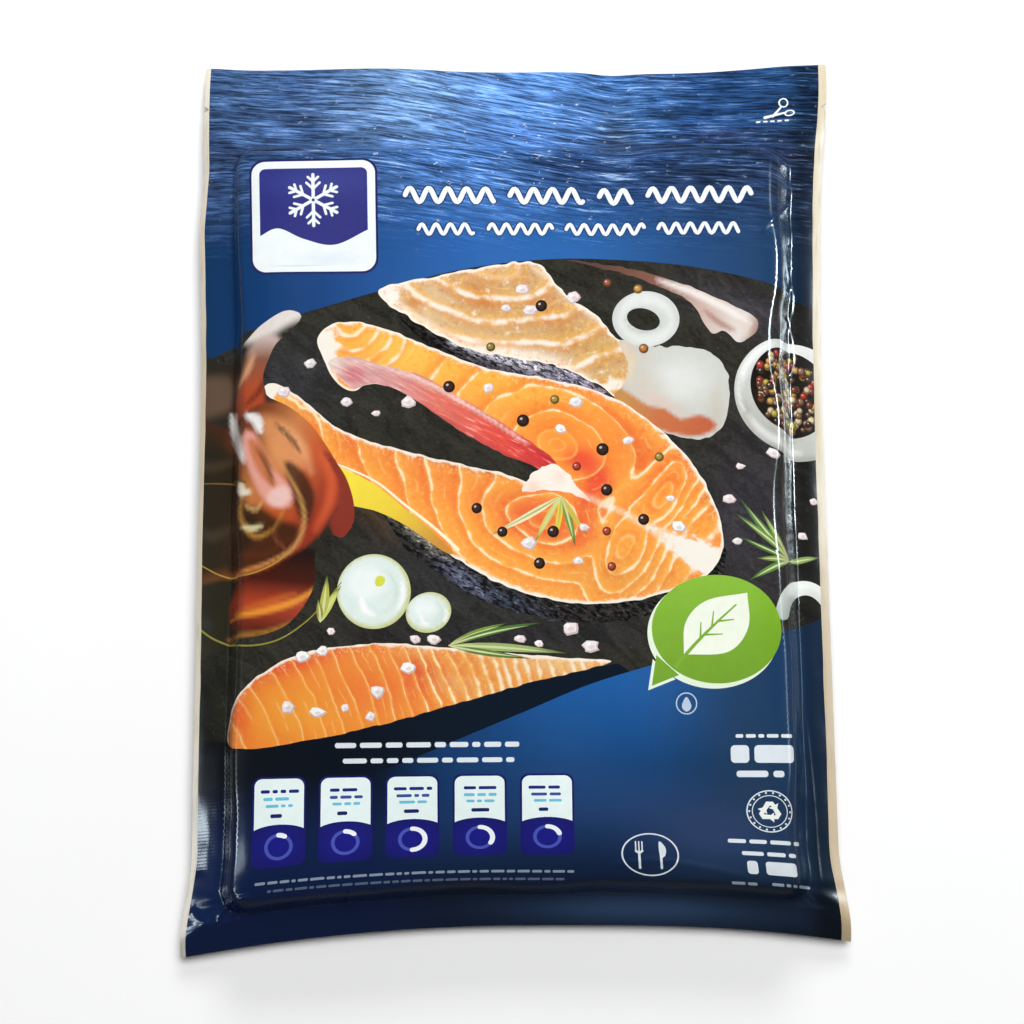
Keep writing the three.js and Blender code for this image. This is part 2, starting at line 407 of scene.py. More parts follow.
def layered(base, *layers):
    """A paint: a base with (paint, strength, weight) layers over it."""

    def paint(x, y):
        colour = as_paint(base)(x, y)
        for top, strength, weight in layers:
            colour = mix(colour, as_paint(top)(x, y), strength * weight(x, y))
        return colour

    return paint


# ---------------------------------------------------------------- the print
KINDS = ["sea", "slate", "flesh", "lining", "skin", "ink", "bare"]
fields = []  # later ones lie over earlier ones


def field(outline, paint, kind="ink", grain=None):
    """A field of the print. outline is one closed line or a list of them, filled where they overlap an odd
    number of times. grain gives what its pattern needs at each point: phase, rim distance, fat, spacing."""
    outlines = outline if isinstance(outline, list) else [outline]
    fields.append({"outlines": outlines, "paint": as_paint(paint), "kind": KINDS.index(kind), "grain": grain})


def bar(points, width, paint):
    """A line of straight pieces with round ends."""
    field(stroke(points, width, smooth_line=False), paint)


def ring(cx, cy, rx, ry, width, paint, turn=0):
    field([ellipse(cx, cy, rx, ry, turn), ellipse(cx, cy, rx - width, ry - width, turn)], paint)


def words(x0, x1, y, height, paint, seed, tilt=0.0):
    """A line of small print, as bars of word length."""
    rng = np.random.default_rng(seed)
    x = x0
    while x < x1 - 1.5 * height:
        end = min(x + rng.uniform(1.4, 5) * height, x1)
        at = y + tilt * (x - x0)
        field(rounded(x, at - height / 2, end, at + height / 2, height * 0.42), paint)
        x = end + 0.75 * height


def weld_painted_shade(paint):
    """A paint with painted shade, darker where the right weld slopes away from the light."""
    return lambda x, y: paint(x, y) * (1 - 0.6 * smooth(x, 108, 116))[:, None]


# Soft spots: along the top seam, darker water in places and painted shade of the seam; and on the bottom
# edge, a painted sheen
SEAM_SHADE_AND_DARK_WATER = (
    ("27324a", 0.75, -102, 136, 26, 3.2, -5),
    ("2a3350", 0.6, -83, 154, 14, 2.4, -6),
    ("43505e", 0.6, 43, 148, 8, 12),
    ("2a2f4e", 0.7, 106, 135, 18, 5),
    ("2c3354", 0.7, 86, 146, 16, 2.2),
    ("24386a", 0.5, 40, 138, 26, 2.6),
    ("1c2d4c", 0.7, 84, 122, 26, 5),
    ("1a2f58", 0.8, 20, 128, 22, 3.4, -4),
    ("203660", 0.7, 70, 140, 20, 4),
)
# A painted sheen: bluish light on the bottom edge
FOOT_SHEEN = ("345074", 0.9, 46, -169.5, 44, 5.5)


def sea_paint(x, y):
    t = (x + HALF_WIDTH) / (2 * HALF_WIDTH)
    low = blend(t, (0, "10365f"), (0.2, "10417e"), (0.45, "2264b2"), (0.6, "2064ae"), (0.78, "1c4a80"),
                (1, "1c3650"))
    middle = blend(t, (0, "3a5582"), (0.25, "3b6098"), (0.45, "4a80ca"), (0.62, "2d548e"), (0.8, "294774"),
                   (1, "2a4266"))
    high = blend(t, (0, "3e5c88"), (0.18, "466698"), (0.34, "7aa4da"), (0.5, "6aa0ee"), (0.68, "4474b4"),
                 (0.8, "234a80"), (1, "244a78"))
    colour = mix(mix(low, middle, smooth(y, 92, 124)), high, smooth(y, 130, 158))
    # darker water, and painted shade along the top seam
    colour = spotted(colour, x, y, SEAM_SHADE_AND_DARK_WATER)
    dark = blend((-x - 20) / 100, (0, "071626"), (0.5, "050f1c"), (1, "0c0f14"))
    dark = mix(dark, linear("0a1e46"), smooth(-y, 106, 140))
    # painted sheen on the bottom edge
    dark = spotted(dark, x, y, [FOOT_SHEEN])
    return mix(colour, dark, 1 - smooth(y, -60, 40))


def swoosh_paint(x, y):
    depth = smooth(-y, 62, 172)
    colour = blend(depth, (0, "0f5ca6"), (0.35, "10447a"), (0.65, "1a3a68"), (0.88, "0f2546"), (1, "0a1a34"))
    colour = mix(colour, linear("081c44"), 0.75 * smooth(-x, -26, 34) * (1 - depth))
    colour = mix(colour, linear("1b3550"), 0.85 * smooth(x, 42, 92))
    colour = spotted(colour, x, y, [("2b4068", 0.8, 74, -136, 24, 15)])
    colour = mix(colour, linear("0b1526"), 0.85 * smooth(-y, 150, 162) * smooth(x, 40, 80))
    # painted sheen on the bottom edge
    colour = spotted(colour, x, y, [FOOT_SHEEN])
    return mix(colour, sea_paint(x, y), smooth(-x, 22, 56))


SLATE_WITH_WELD_SHADE = spots(
    "2e2d25",
    # painted shade on the left weld, low down
    ("12120c", 0.8, -121, -84, 9, 34),
    ("3a3a44", 0.5, -90, 40, 26, 18),
    ("3c3845", 0.6, 92, -16, 20, 34),
    ("33343c", 0.5, -28, -34, 30, 18, -30),
    ("4a4652", 0.6, 92, 66, 26, 8, -20),
    ("2d2b33", 0.6, 0, -58, 70, 6),
    ("4d3824", 0.6, -52, -15, 11, 5, -35),
)


def lay_sea_and_slate():
    wide, low, high = HALF_WIDTH + 4, -HALF_LENGTH - 4, HALF_LENGTH + 4
    # All three fields get painted shade where the right weld slopes away from the light.
    field(along([(-wide, low), (wide, low), (wide, high), (-wide, high)], 30), weld_painted_shade(sea_paint), "sea")
    arc = spline([(128, -48), (103, -57.5), (78, -63.5), (52, -70), (28, -77), (4, -86.5), (-20, -96),
                  (-42, -105), (-62, -112)])
    lower = [(-62, -112), (-62, low), (129, low), (129, -48)]
    field(np.vstack([arc, *[spline([a, b], 6)[1:] for a, b in zip(lower, lower[1:])]]),
          weld_painted_shade(swoosh_paint))
    top = spline([(-129, 50), (-105, 59), (-78, 67), (-52, 74.5), (-28, 81), (-4, 85), (22, 87), (48, 86),
                  (74, 83), (100, 77.5), (129, 70)])
    under = spline([(40, -69), (16, -73), (-12, -79.5), (-44, -87.5), (-74, -93.5), (-104, -96), (-129, -94)])
    right, left = spline([(129, 70), (129, -48)], 6)[1:-1], spline([(-129, -97), (-129, 50)], 6)[1:-1]
    field(np.vstack([top, right, arc[arc[:, 0] > 44], under, left]), weld_painted_shade(SLATE_WITH_WELD_SHADE), "slate")


def lay_pot():
    """A coppery pot out of focus at the left edge, with its reflections."""
    whole = spline([(-129, 46), (-114, 50), (-106, 54.5), (-98.5, 61.5), (-89, 67), (-83, 66), (-83, 63),
                    (-88, 58), (-92.5, 54), (-95.5, 48), (-97.5, 42), (-96.5, 36), (-95, 33.4), (-87, 29.4),
                    (-79, 23), (-73, 15.2), (-68, 7.3), (-64.3, 1.3), (-61.5, -7.5), (-61.5, -15.5),
                    (-65.5, -21), (-70, -20), (-74.5, -21.5), (-76.3, -28), (-76.3, -37.5), (-79.3, -45),
                    (-86, -53), (-95, -57), (-107, -59), (-118, -62), (-129, -58)], closed=True)
    body = [(-135, 27), (-112, 25), (-98, 31), (-86, 31), (-78, 24), (-71, 15), (-66.5, 7), (-65.5, -2),
            (-68.5, -10), (-74, -19), (-85, -28), (-99, -34), (-111, -34), (-135, -30)]
    neck = [(-103, 53), (-96, 58), (-90, 55), (-95, 45), (-97, 34), (-96, 26), (-105, 20), (-110, 30),
            (-107, 42)]
    sliver = [(-73, 12), (-64, 4), (-59, -9), (-60, -20), (-67, -22.5), (-70.5, -16), (-67.5, -8), (-67.5, 0)]
    bowl = [(-108, -37), (-94, -32), (-79, -25), (-72, -33), (-74, -43), (-84, -52), (-98, -55.5),
            (-110, -53)]
    capsule = [(-106, 19), (-101, 20), (-94, 7), (-86, -2), (-86, -9), (-93, -9), (-98, -4), (-104, 9)]
    copper = graded(-32, -110, -58, (0, "4a2616"), (0.28, "864626"), (0.5, "c87c44"), (0.72, "c45a2a"),
                    (1, "92301a"))
    warm = graded(90, 20, 58, (0, "a03a24"), (0.45, "b8502c"), (0.75, "8f5a44"), (1, "d8c4bc"))
    bowl_glow = graded(84, -64, -34, (0, "6a2618"), (0.3, "b04226"), (0.6, "48190f"), (1, "1c110d"))
    paint = layered(
        "2b2820",
        ("6e5646", 0.8, soft([(-135, 44), (-112, 45), (-108, 34), (-135, 29)], 3)),
        ("4a3a2e", 0.7, soft_line([(-126, 22), (-116, 18), (-112, 4)], 6, 3)),
        ("efe6e0", 0.9, soft_line([(-104, 56), (-96, 61), (-89, 65), (-80, 67)], 8, 2)),
        ("3a2418", 0.8, soft_line([(-113, 50), (-110, 40), (-112, 28)], 3.4, 1.2)),
        (warm, 0.95, soft(neck, 1.4)),
        ("e8b48c", 0.7, soft_line([(-101, 51), (-104, 44), (-108, 39)], 2.2, 1.0)),
        ("4a1d12", 0.7, soft_line([(-95, 44), (-99, 36), (-104, 31)], 2.2, 1.0)),
        (copper, 1.0, soft(body, 0.8)),
        ("e39a62", 0.75, soft([(-98, 26), (-86, 22), (-80, 12), (-84, 2), (-90, 4), (-95, 13)], 3.0)),
        ("f0b27c", 0.5, soft_line([(-90, 22), (-82, 14), (-78, 4)], 3.0, 2.4)),
        ("e4602c", 0.7, soft_line([(-75, 12), (-70, 2), (-71, -8), (-76, -18)], 4.0, 2.2)),
        ("241810", 0.92, soft([(-128, 16), (-111, 14), (-105, -4), (-98, -18), (-112, -30),
                               (-132, -27)], 2.5)),
        ("3a2214", 0.9, soft([(-88.5, 8), (-81, 4), (-76.5, -6), (-80, -16), (-84.5, -8)], 1.2)),
        ("33200f", 0.92, soft([(-102, -9), (-90, -14), (-82.5, -17), (-86, -25), (-97, -31),
                               (-113, -31)], 1.8)),
        ("5c2c1a", 0.7, soft_line([(-110, -26), (-96, -27), (-86, -21)], 2.4, 1.4)),
        ("2a2618", 0.8, soft([(-140, 24), (-114, 20), (-110, 0), (-112, -20), (-108, -60),
                              (-140, -60)], 5.0)),
        ("4c3c28", 0.7, soft_line([(-128, 12), (-119, 10), (-110, 12)], 3.4, 2.0)),
        ("4a4130", 0.6, soft_line([(-128, -14), (-119, -17), (-110, -14)], 4.0, 2.2)),
        ("241610", 0.8, soft_line([(-92.5, 23), (-87, 18), (-82.5, 12)], 1.8, 0.8)),
        ("c08a3c", 0.8, soft_line([(-105, -1), (-106, -12), (-100, -20), (-92, -17), (-88, -8)], 1.8, 1.0)),
        ("d09c58", 0.85, soft_line([(-89, 7), (-83, -4), (-80.5, -14), (-84, -24), (-94, -30),
                                    (-108, -34)], 1.5, 0.9)),
        ("e8a494", 0.95, soft(capsule, 1.2)),
        ("c8703a", 0.85, soft([(-103, 17), (-99, 16), (-93, 4), (-92, -2), (-97, 2), (-101, 9)], 1.0)),
        ("6a3f22", 0.8, soft_line([(-99.5, 14), (-95.5, 7), (-93, 0)], 2.0, 0.8)),
        ("f0c8c0", 0.9, soft([(-94, -3), (-88, -1), (-86, -6), (-90, -9), (-95, -7)], 1.2)),
        ("f3efec", 0.95, soft_line([(-112, 30), (-109, 20), (-105, 9)], 3.6, 1.0)),
        ("f3efec", 0.95, soft_line([(-104, 27), (-100, 25), (-98, 20)], 4.0, 1.0)),
        ("e9e4cc", 0.9, soft_line([(-107, 1), (-105, -3), (-102, -3)], 3.2, 0.8)),
        ("e4d6a4", 0.9, soft_line([(-105, -16), (-101, -17), (-97, -16)], 2.2, 0.8)),
        ("d8b070", 0.7, soft_line([(-104, -8), (-100, -10), (-97, -7)], 1.6, 0.7)),
        ("8a4a34", 0.7, soft_line([(-93, -17), (-91, -22), (-88, -25)], 1.2, 0.5)),
        (graded(-60, -12, 16, (0, "8a2f1e"), (0.6, "cf5a36"), (1, "e08058")), 0.97, soft(sliver, 0.7)),
        (bowl_glow, 0.97, soft(bowl, 1.2)),
        ("f09a34", 0.9, soft_line([(-110, -50), (-97, -48.5), (-84, -45), (-75, -40)], 2.6, 0.9)),
        ("e8782c", 0.5, soft_line([(-108, -48), (-97, -46), (-84, -42)], 2.4, 1.6)),
        ("b0762a", 0.85, soft_line([(-112, -57), (-96, -56.5), (-82, -52)], 1.8, 0.9)),
    )
    field(whole, paint)
    for line, width, code in (
        ([(-127, -26), (-115, -32.5), (-104, -34.4), (-94, -31.5), (-86, -26.5)], (0.5, 0.7), "b08a3a"),
        ([(-127, -50), (-117, -57), (-104, -61), (-91, -59.5), (-80, -53), (-71, -44), (-66, -38)],
         (0.8, 0.4), "8f8a3c"),
        ([(-126, 4), (-112, 3), (-104, 1)], (0.4, 0.8), "7a5c2c"),
    ):
        field(stroke(line, width), code)


# ---------------------------------------------------------------- fish
def nested(*middles, growth=0.86):
    """The white lines in fish flesh: rings round several middles, each given as place, spacing in mm,
    stretch and its direction in degrees. Far rings lie wider apart if growth is below 1, else closer."""

    def rings(x, y):
        x, y = x + 1.7 * noise(x, y, 17, 41), y + 1.7 * noise(x, y, 17, 42)
        x, y = x + 0.45 * noise(x, y, 5, 43), y + 0.45 * noise(x, y, 5, 44)
        phases = []
        for cx, cy, spacing, stretch, turn in middles:
            c, s = math.cos(math.radians(turn)), math.sin(math.radians(turn))
            u, v = (x - cx) * c + (y - cy) * s, (y - cy) * c - (x - cx) * s
            phases.append((np.hypot(u / stretch, v) / spacing) ** growth + 0.62)
        sharpness = 3.5  # of the bends where the rings of two middles meet
        nearest = np.min(phases, 0)
        return nearest - np.log(sum(np.exp(sharpness * (nearest - phase)) for phase in phases)) / sharpness

    def phase_and_spacing(x, y, step=0.3):
        phase = rings(x, y)
        slope = np.hypot(rings(x + step, y) - phase, rings(x, y + step) - phase) / step
        return phase, 1 / np.maximum(slope, 0.08)

    return phase_and_spacing


def flesh(outline, paint, rings, fat, rim=None):
    """A field of flesh, pale where fat is near 1 and smooth where it's below 0. The pale rim follows the
    whole outline, or only the line given as rim."""

    def grain(x, y):
        phase, spacing = rings(x, y)
        away = distance_to(outline, x, y, closed=True) if rim is None else distance_to(rim, x, y)
        return np.stack([phase, away, fat(x, y), spacing], -1)

    field(outline, paint, "flesh", grain)


def lay_second_steak():
    hide = ragged([(-50, 74), (-38, 65), (-18, 53.5), (2, 48), (18, 44), (33, 37), (40, 30), (33, 30.5),
                   (20, 32), (2, 37), (-16, 43), (-30, 51), (-44, 64)], 0.5, 50)
    silver = layered(graded(-12, -46, 40, (0, "241f1e"), (0.35, "4c4650"), (0.72, "8f8a9c"), (1, "7a5a66")),
                     ("151413", 0.85, soft_line([(-44, 63), (-20, 45), (4, 37), (30, 31)], 5, 1.6)),
                     ("d4d0dc", 0.85, soft_line([(-24, 54.5), (-6, 48.5), (14, 42.5)], 3.4, 1.6)))
    field(hide, silver, "skin")
    body = ragged([(-52, 74.5), (-30, 80), (-8, 84), (9, 85.5), (17, 78), (23, 71), (32, 65), (38, 58.5),
                   (44, 52), (47.5, 43), (46, 35), (41, 31.5), (33, 37.5), (18, 44), (2, 47.5), (-17, 51.5),
                   (-34, 60)], 0.5, 52)
    paint = layered(
        spots("d6ac76", ("e4cba4", 0.8, -34, 70, 10), ("cf7c34", 0.9, -12, 72, 10, 5, -20),
              ("d2863c", 0.7, 14, 66, 9, 5, -30), ("d48a3c", 0.8, -38, 70, 4, 7, -20),
              ("cda660", 0.8, 34, 50, 9, 9), ("d09a52", 0.7, 22, 56, 8, 5, -35),
              ("efe4d0", 0.9, 2, 50, 20, 3, -12)),
        ("fbf2e4", 0.9, soft_line([(-50, 74), (-34, 61.5), (-16, 53), (2, 49), (18, 45.5), (30, 40)],
                                  3.6, 1.4)),
        ("fbf2e4", 0.7, soft_line([(8, 84), (18, 77), (26, 69), (37, 60)], 2.6, 1.4)),
    )
    rings = nested((-7, 85, 6.4, 1.9, -8))
    flesh(body, paint, rings, lambda x, y: 0.3 + 0.6 * glow(x, y, -48, 73, 6) + 0.3 * glow(x, y, 40, 36, 5))
    flap = ragged([(42.5, 54), (50, 52.5), (60, 51.5), (68, 51.5), (79, 48.5), (85, 40), (84.5, 28),
                   (82, 20), (74, 15.5), (62, 17.5), (50, 22), (42, 28), (40, 32), (44.5, 38),
                   (45.5, 46)], 0.5, 54, 2.4)
    tan = graded(-20, 32, 76, (0, "c98a3c"), (0.3, "cc6a2c"), (1, "c24a1e"))
    field(flap, layered(
        spots("cdd0c8", ("dcc4b4", 0.8, 42, 48, 10, 7), ("e8eae6", 0.9, 66, 38, 12, 9),
              ("cdbba8", 0.5, 80, 26, 3, 9), ("d6cbb8", 0.6, 52, 38, 9, 4, -30),
              ("e8b8a8", 0.5, 58, 30, 12, 2.4, -24)),
        (tan, 0.95, soft([(38, 38), (46, 33.5), (54, 28.5), (60, 27.5), (66, 23.5), (74, 25), (80, 21),
                          (74, 17), (62, 18), (50, 22.5), (38, 29)], 0.8)),
        ("e8d4b0", 0.8, soft_line([(44, 52), (47, 45), (46, 38)], 3.0, 1.4)),
    ))
    far = ragged([(22, 86.3), (38, 84.4), (56, 80.5), (74, 74), (88, 67.5), (97, 62), (95.5, 56.5),
                  (89, 53.5), (84, 58), (79, 57), (75, 63), (71, 69), (62, 73.5), (48, 79.5),
                  (34, 83.6)], 0.4, 56)
    pale = graded(-20, 5, 72, (0, "5d4238"), (0.35, "8a5a4c"), (0.6, "c8aa9e"), (0.9, "e2dad4"),
                  (1, "9a6850"))
    field(far, layered(pale, ("f6f0ea", 0.9, soft_line([(58, 78), (72, 73), (84, 67), (94, 61)], 3.0, 1.2)),
                       ("a8705c", 0.8, soft_line([(76, 66), (82, 61), (88, 58)], 2.2, 1.0)),
                       ("e4d4c8", 0.8, soft_line([(88, 62), (93, 59), (92, 56)], 3.0, 1.0))))


def lay_main_steak():
    edge = [(-76, 55), (-72, 60.5), (-62, 62.5), (-48, 59), (-30, 51.5), (-10, 44), (14, 39.5), (38, 32.5),
            (57, 20), (71, 5), (79.5, -12), (81, -27), (74, -37), (60, -42.5), (40, -46.5), (20, -46),
            (0, -41), (-18, -32), (-36, -19), (-54, -3.5), (-72, 9), (-88, 20), (-100, 31), (-97.5, 37),
            (-94, 38.7), (-89.6, 37.3), (-83, 33), (-76, 27.4), (-69, 21.5), (-56, 15.8), (-44, 12.5),
            (-24, 7.5), (-4, 3), (8, -1.5), (14, 1), (8, 7), (-4, 12), (-20, 20), (-34, 29.5), (-46, 36),
            (-56, 37.5), (-62, 35), (-68, 38), (-73, 46)]
    hide = ragged([(82, -26), (80, -38), (68, -47), (48, -52), (26, -54), (2, -50), (-16, -43), (-30, -34),
                   (-42, -24), (-50, -12), (-46, -8), (-34, -17), (-18, -28), (0, -38), (24, -43),
                   (50, -42), (74, -32)], 0.6, 58)
    skin = spots("282725", ("666c86", 0.8, -18, -38, 12, 3, -38), ("3d4456", 0.7, 0, -46, 16, 3, -20),
                 ("a5a090", 0.6, -36, -21, 12, 1.6, -38), ("2b2a28", 0.9, 52, -49, 40, 4))
    field(hide, skin, "skin")
    body = ragged(edge, 0.35, 60)
    septum = soft([(27, -5), (34, -8), (41, -10.8), (48, -14.2), (56, -17.8), (64, -21.4), (73, -26),
                   (80, -30.5), (79, -36), (70, -33.4), (61, -27), (55, -21.4), (47, -16), (40, -12),
                   (33, -9.2)], 1.2)
    paint = layered(
        spots("fca038", ("fcc44c", 0.9, -42, 50, 26, 9, -24), ("fbb43a", 0.9, -4, 38, 26, 7, -20),
              ("f88a2c", 0.8, 34, 8, 18, 14), ("f68226", 0.7, 17, 24, 15, 8), ("f47c2c", 0.8, 58, 4, 16, 11),
              ("f4843a", 0.8, -2, -10, 24, 8, -20), ("f09e42", 0.9, 42, -36, 26, 7),
              ("de7226", 0.7, 77, -6, 4, 10), ("f58434", 0.8, -32, 2, 14, 9),
              ("f08232", 0.8, -62, 14, 18, 6, -24), ("f2a850", 0.8, -86, 31, 9, 4, -40)),
        ("f0442a", 0.9, soft([(20, 9), (28, 12), (34, 8), (39, -2), (37, -12), (30, -14), (25, -8),
                              (28, 0)], 4.0)),
        ("f4602e", 0.7, soft([(6, -6), (22, -10), (34, -16), (28, -26), (10, -24), (-4, -16)], 4.0)),
        ("ee6e30", 0.5, soft([(34, 28), (48, 22), (56, 10), (50, 4), (42, 14)], 3.0)),
        ("c85a1c", 0.6, soft_line([(-60, 18), (-40, 11), (-20, 6), (0, 1)], 2.0, 1.0)),
        ("f6e4cc", 0.8, septum),
        ("f09a4c", 0.6, soft_line([(60, -24), (69, -29), (75, -33)], 1.8, 1.2)),
    )
    rings = nested((18, 13, 6.6, 1.35, -28), (57, -5, 2.8, 2.4, 47), (12, -15, 4.6, 1.5, -22),
                   (43.5, -25, 2.8, 2.0, 64), (-62, 64, 3.6, 1.0, 0))

    def fat(x, y):
        tips = 1.2 * glow(x, y, -75, 51, 7, 12, 10) + 1.3 * glow(x, y, -96, 36, 6, 4)
        outer = 0.85 * glow(x, y, 81, -10, 3.4, 12, 10) + 1.2 * glow(x, y, 73, -29, 9, 6, -40)
        lower = 0.55 * glow(x, y, -4, -40, 18, 2.8, -22) + 0.5 * glow(x, y, 66, 12, 14, 2.6, -50)
        arm = 0.16 * glow(x, y, -46, 50, 26, 9, -24)
        plain = 0.3 * glow(x, y, 26, 12, 20, 16) + 0.2 * glow(x, y, 12, -14, 12, 9)
        return np.clip(tips + outer + lower + arm - plain + 0.5 * septum(x, y), -0.3, 1)

    flesh(body, paint, rings, fat)
    yolk = spline([(-70, 6), (-61, 3), (-52, -2), (-42, -10), (-32, -18), (-23, -27), (-27, -26.5),
                   (-40, -17.5), (-52, -11.5), (-62, -9), (-67, -6)], closed=True)
    field(yolk, graded(-38, -56, -8, (0, "f6e23a"), (0.55, "f0d034"), (1, "d08f34")))
    gleam = [(-71, 8), (-62, 4.5), (-52, -0.5), (-42, -8.5), (-31, -17), (-21, -26)]
    field(stroke(gleam, (0.6, 1.3)), "fdf0cc")
    lining = ragged([(-72, 47), (-67, 40), (-61.5, 36), (-56, 37.8), (-46, 36), (-34, 29), (-20, 19.5),
                     (-4, 10.5), (8, 5.5), (14, 0.5), (19, 1.5), (15, 9), (4, 17), (-8, 25), (-22, 33.5),
                     (-36, 41), (-50, 45), (-62, 48.5)], 0.35, 62)
    pinks = graded(0, -72, 16, (0, "f2e2d8"), (0.1, "e8b4ae"), (0.3, "de9a96"), (0.48, "ea7a68"),
                   (0.75, "ec5040"), (1, "d02a34"))
    wall = layered(
        pinks,
        ("fbe4da", 0.8, soft_line([(-64, 47.5), (-48, 44), (-30, 36.5), (-10, 25), (6, 14)], 1.6, 0.8)),
        ("d8707c", 0.7, soft([(-68, 42), (-62, 38), (-57, 40), (-60, 45)], 1.6)),
        ("c4404a", 0.6, soft_line([(-50, 36.5), (-30, 26.5), (-8, 13), (8, 5)], 1.6, 0.8)),
    )
    field(lining, wall, "lining")
    spine = ragged([(10, 4), (15, 6), (20, 4), (25, -2.5), (30, -7.5), (25, -6.5), (20, -4.5), (12, -4),
                    (4, -4), (6, 0)], 0.7, 64, 2.4)
    field(spine, spots("fdf2e6", ("f8b890", 0.7, 30, -7.5, 4), ("f6cdb4", 0.7, 8, -3, 3),
                       ("f7d4c0", 0.6, 18, 1, 2.4)))


def lay_fillet():
    top = [(-111, -96), (-110.5, -90), (-107, -81.5), (-99, -73.5), (-85, -65.8), (-68, -62), (-48, -61),
           (-26, -62.6), (-4, -64.8), (18, -66.6), (37, -68)]
    bottom = [(30, -70.6), (8, -75.5), (-16, -81.7), (-42, -88.8), (-68, -94.6), (-92, -98.4), (-106, -99)]
    paint = spots("ee8a34", ("e4502c", 0.95, -84, -67, 24, 5, 18), ("f4a03c", 0.9, -82, -86, 22, 9),
                  ("ec7430", 0.8, -54, -78, 14, 8), ("ea9a4c", 0.8, -12, -70, 18, 6, -12),
                  ("e6bc84", 0.95, 16, -69, 22, 5, -10), ("e8ae70", 0.7, -22, -76, 12, 4, -14),
                  ("e0502c", 0.8, -36, -72, 7, 8), ("e8602c", 0.8, -105, -86, 5, 10),
                  ("f2b268", 0.6, -34, -64, 10, 2.4))
    rings = nested((-150, -116, 36.5, 1.0, 0), growth=2.0)
    flesh(ragged(top + bottom, 0.3, 66), paint, rings, lambda x, y: 0.42 * smooth(x, -56, 0) - 0.26,
          spline(top))


def disc(cx, cy, rx, ry, turn=0):
    """A small onion cut across: white, with a greener rim low on one side and a few glints."""
    glint = [(cx - 0.35 * rx, cy - 0.1 * ry), (cx - 0.25 * rx, cy - 0.5 * ry),
             (cx + 0.02 * rx, cy - 0.62 * ry)]
    field(ellipse(cx, cy, rx, ry, turn), layered(
        "ccd08e",
        ("e2f0ea", 1.0, soft(ellipse(cx - 0.4, cy + 0.4, rx - 1.0, ry - 1.0), 0.8)),
        ("f4fcfa", 0.9, soft(ellipse(cx - 0.2 * rx, cy + 0.25 * ry, rx * 0.5, ry * 0.45), 2.4)),
        ("cfe0d2", 0.7, soft_line(ellipse(cx, cy, rx * 0.62, ry * 0.62, start=-70, end=60), 1.4, 0.8)),
        ("ffffff", 1.0, soft_line(glint, 0.17 * rx, 0.5)),
        ("ffffff", 0.9, soft_line(ellipse(cx, cy, rx * 0.8, ry * 0.8, start=-35, end=20), 0.13 * rx, 0.6)),
    ))


def lay_onions():
    field([ellipse(53, 62.5, 13.2, 11), ellipse(52, 62.3, 6.6, 4.3, -14)], layered(
        "d2d7d3",
        ("e4e8e4", 1.0, soft_line(ellipse(53, 62.8, 10, 7.6, start=10, end=200), 4.8, 1.4)),
        ("e6eae4", 0.9, soft_line(ellipse(53, 62.2, 10.4, 8, start=190, end=360), 4.2, 1.4)),
        ("b4bab4", 0.7, soft_line(ellipse(52, 62.3, 7.0, 4.7, start=180, end=350), 0.9, 0.6)),
    ))
    disc(-53.5, -41.5, 14.2, 14)
    field(ragged([(-53, -37), (-51.5, -35.6), (-49, -37), (-50, -39.6), (-52.4, -39.4)], 0.3, 70), "dbe04a")
    disc(-32.5, -49.5, 8.8, 7.5, 14)
    leek = ellipse(115, -54, 11.5, 15, start=8, end=165)
    bar(leek, (5.0, 6.0), layered(
        graded(90, -56, -38, (0, "9fb0a8"), (0.6, "d0dad2"), (1, "eef3ee")),
        ("f6faf6", 0.7, soft_line(ellipse(115, -54, 12, 16, start=30, end=140), 1.5, 0.6)),
    ))


def lay_bowl():
    """A bowl of peppercorns, half off the film."""
    field(ellipse(113, 33.5, 25.8, 23.3, -8), layered(
        graded(60, 60, 110, (0, "b4b4ac"), (0.5, "d2d6d0"), (1, "eef2ef")),
        ("f9fbf9", 0.9, soft_line(ellipse(113, 34, 23.6, 21.2, start=110, end=200), 2.4, 1.2)),
        ("a4a49c", 0.7, soft_line(ellipse(109, 36, 19.2, 18.6, start=170, end=290), 1.6, 1.0)),
        ("e9ecea", 0.8, soft_line(ellipse(113, 33, 22, 19.4, start=205, end=275), 3.0, 1.4)),
        ("8f8f88", 0.5, soft_line(ellipse(113, 33.5, 25.4, 22.8, start=240, end=310), 2.2, 1.2)),
    ))
    cx, cy = 111, 36.3
    field(ellipse(cx, cy, 17.4, 17, -30), spots("221b17", ("120f0e", 0.8, 98, 42, 6, 8)))
    rng = np.random.default_rng(21)
    shades = ["6b4a34", "3a2a20", "8d6a4c", "d8c29c", "e0cf9c", "7a3a26", "b8a83a", "b8382c", "4a3528",
              "cf9c4e"]
    for _ in range(170):
        turn, r = rng.uniform(0, TAU), math.sqrt(rng.uniform(0, 0.84))
        x, y = cx + 17.2 * r * math.cos(turn), cy + 16.8 * r * math.sin(turn)
        size, code = rng.uniform(1.15, 1.75), shades[rng.integers(len(shades))]
        if x < 122:
            corn(x, y, size, code)


def corn(x, y, r, code):
    """A peppercorn: a round one with a darker rim, a wrinkle and a glint."""
    field(ellipse(x, y, r, step=0.7), spots("1b1512", (code, 0.8, x - 0.1 * r, y + 0.15 * r, r * 0.9)))
    field(ellipse(x - 0.12 * r, y + 0.12 * r, r * 0.66, r * 0.6, step=0.7), code)
    field(ellipse(x - 0.3 * r, y + 0.3 * r, r * 0.24, r * 0.2, 30, step=0.35),
          spots(code, ("f0e4da", 0.65, x - 0.3 * r, y + 0.3 * r, r)))


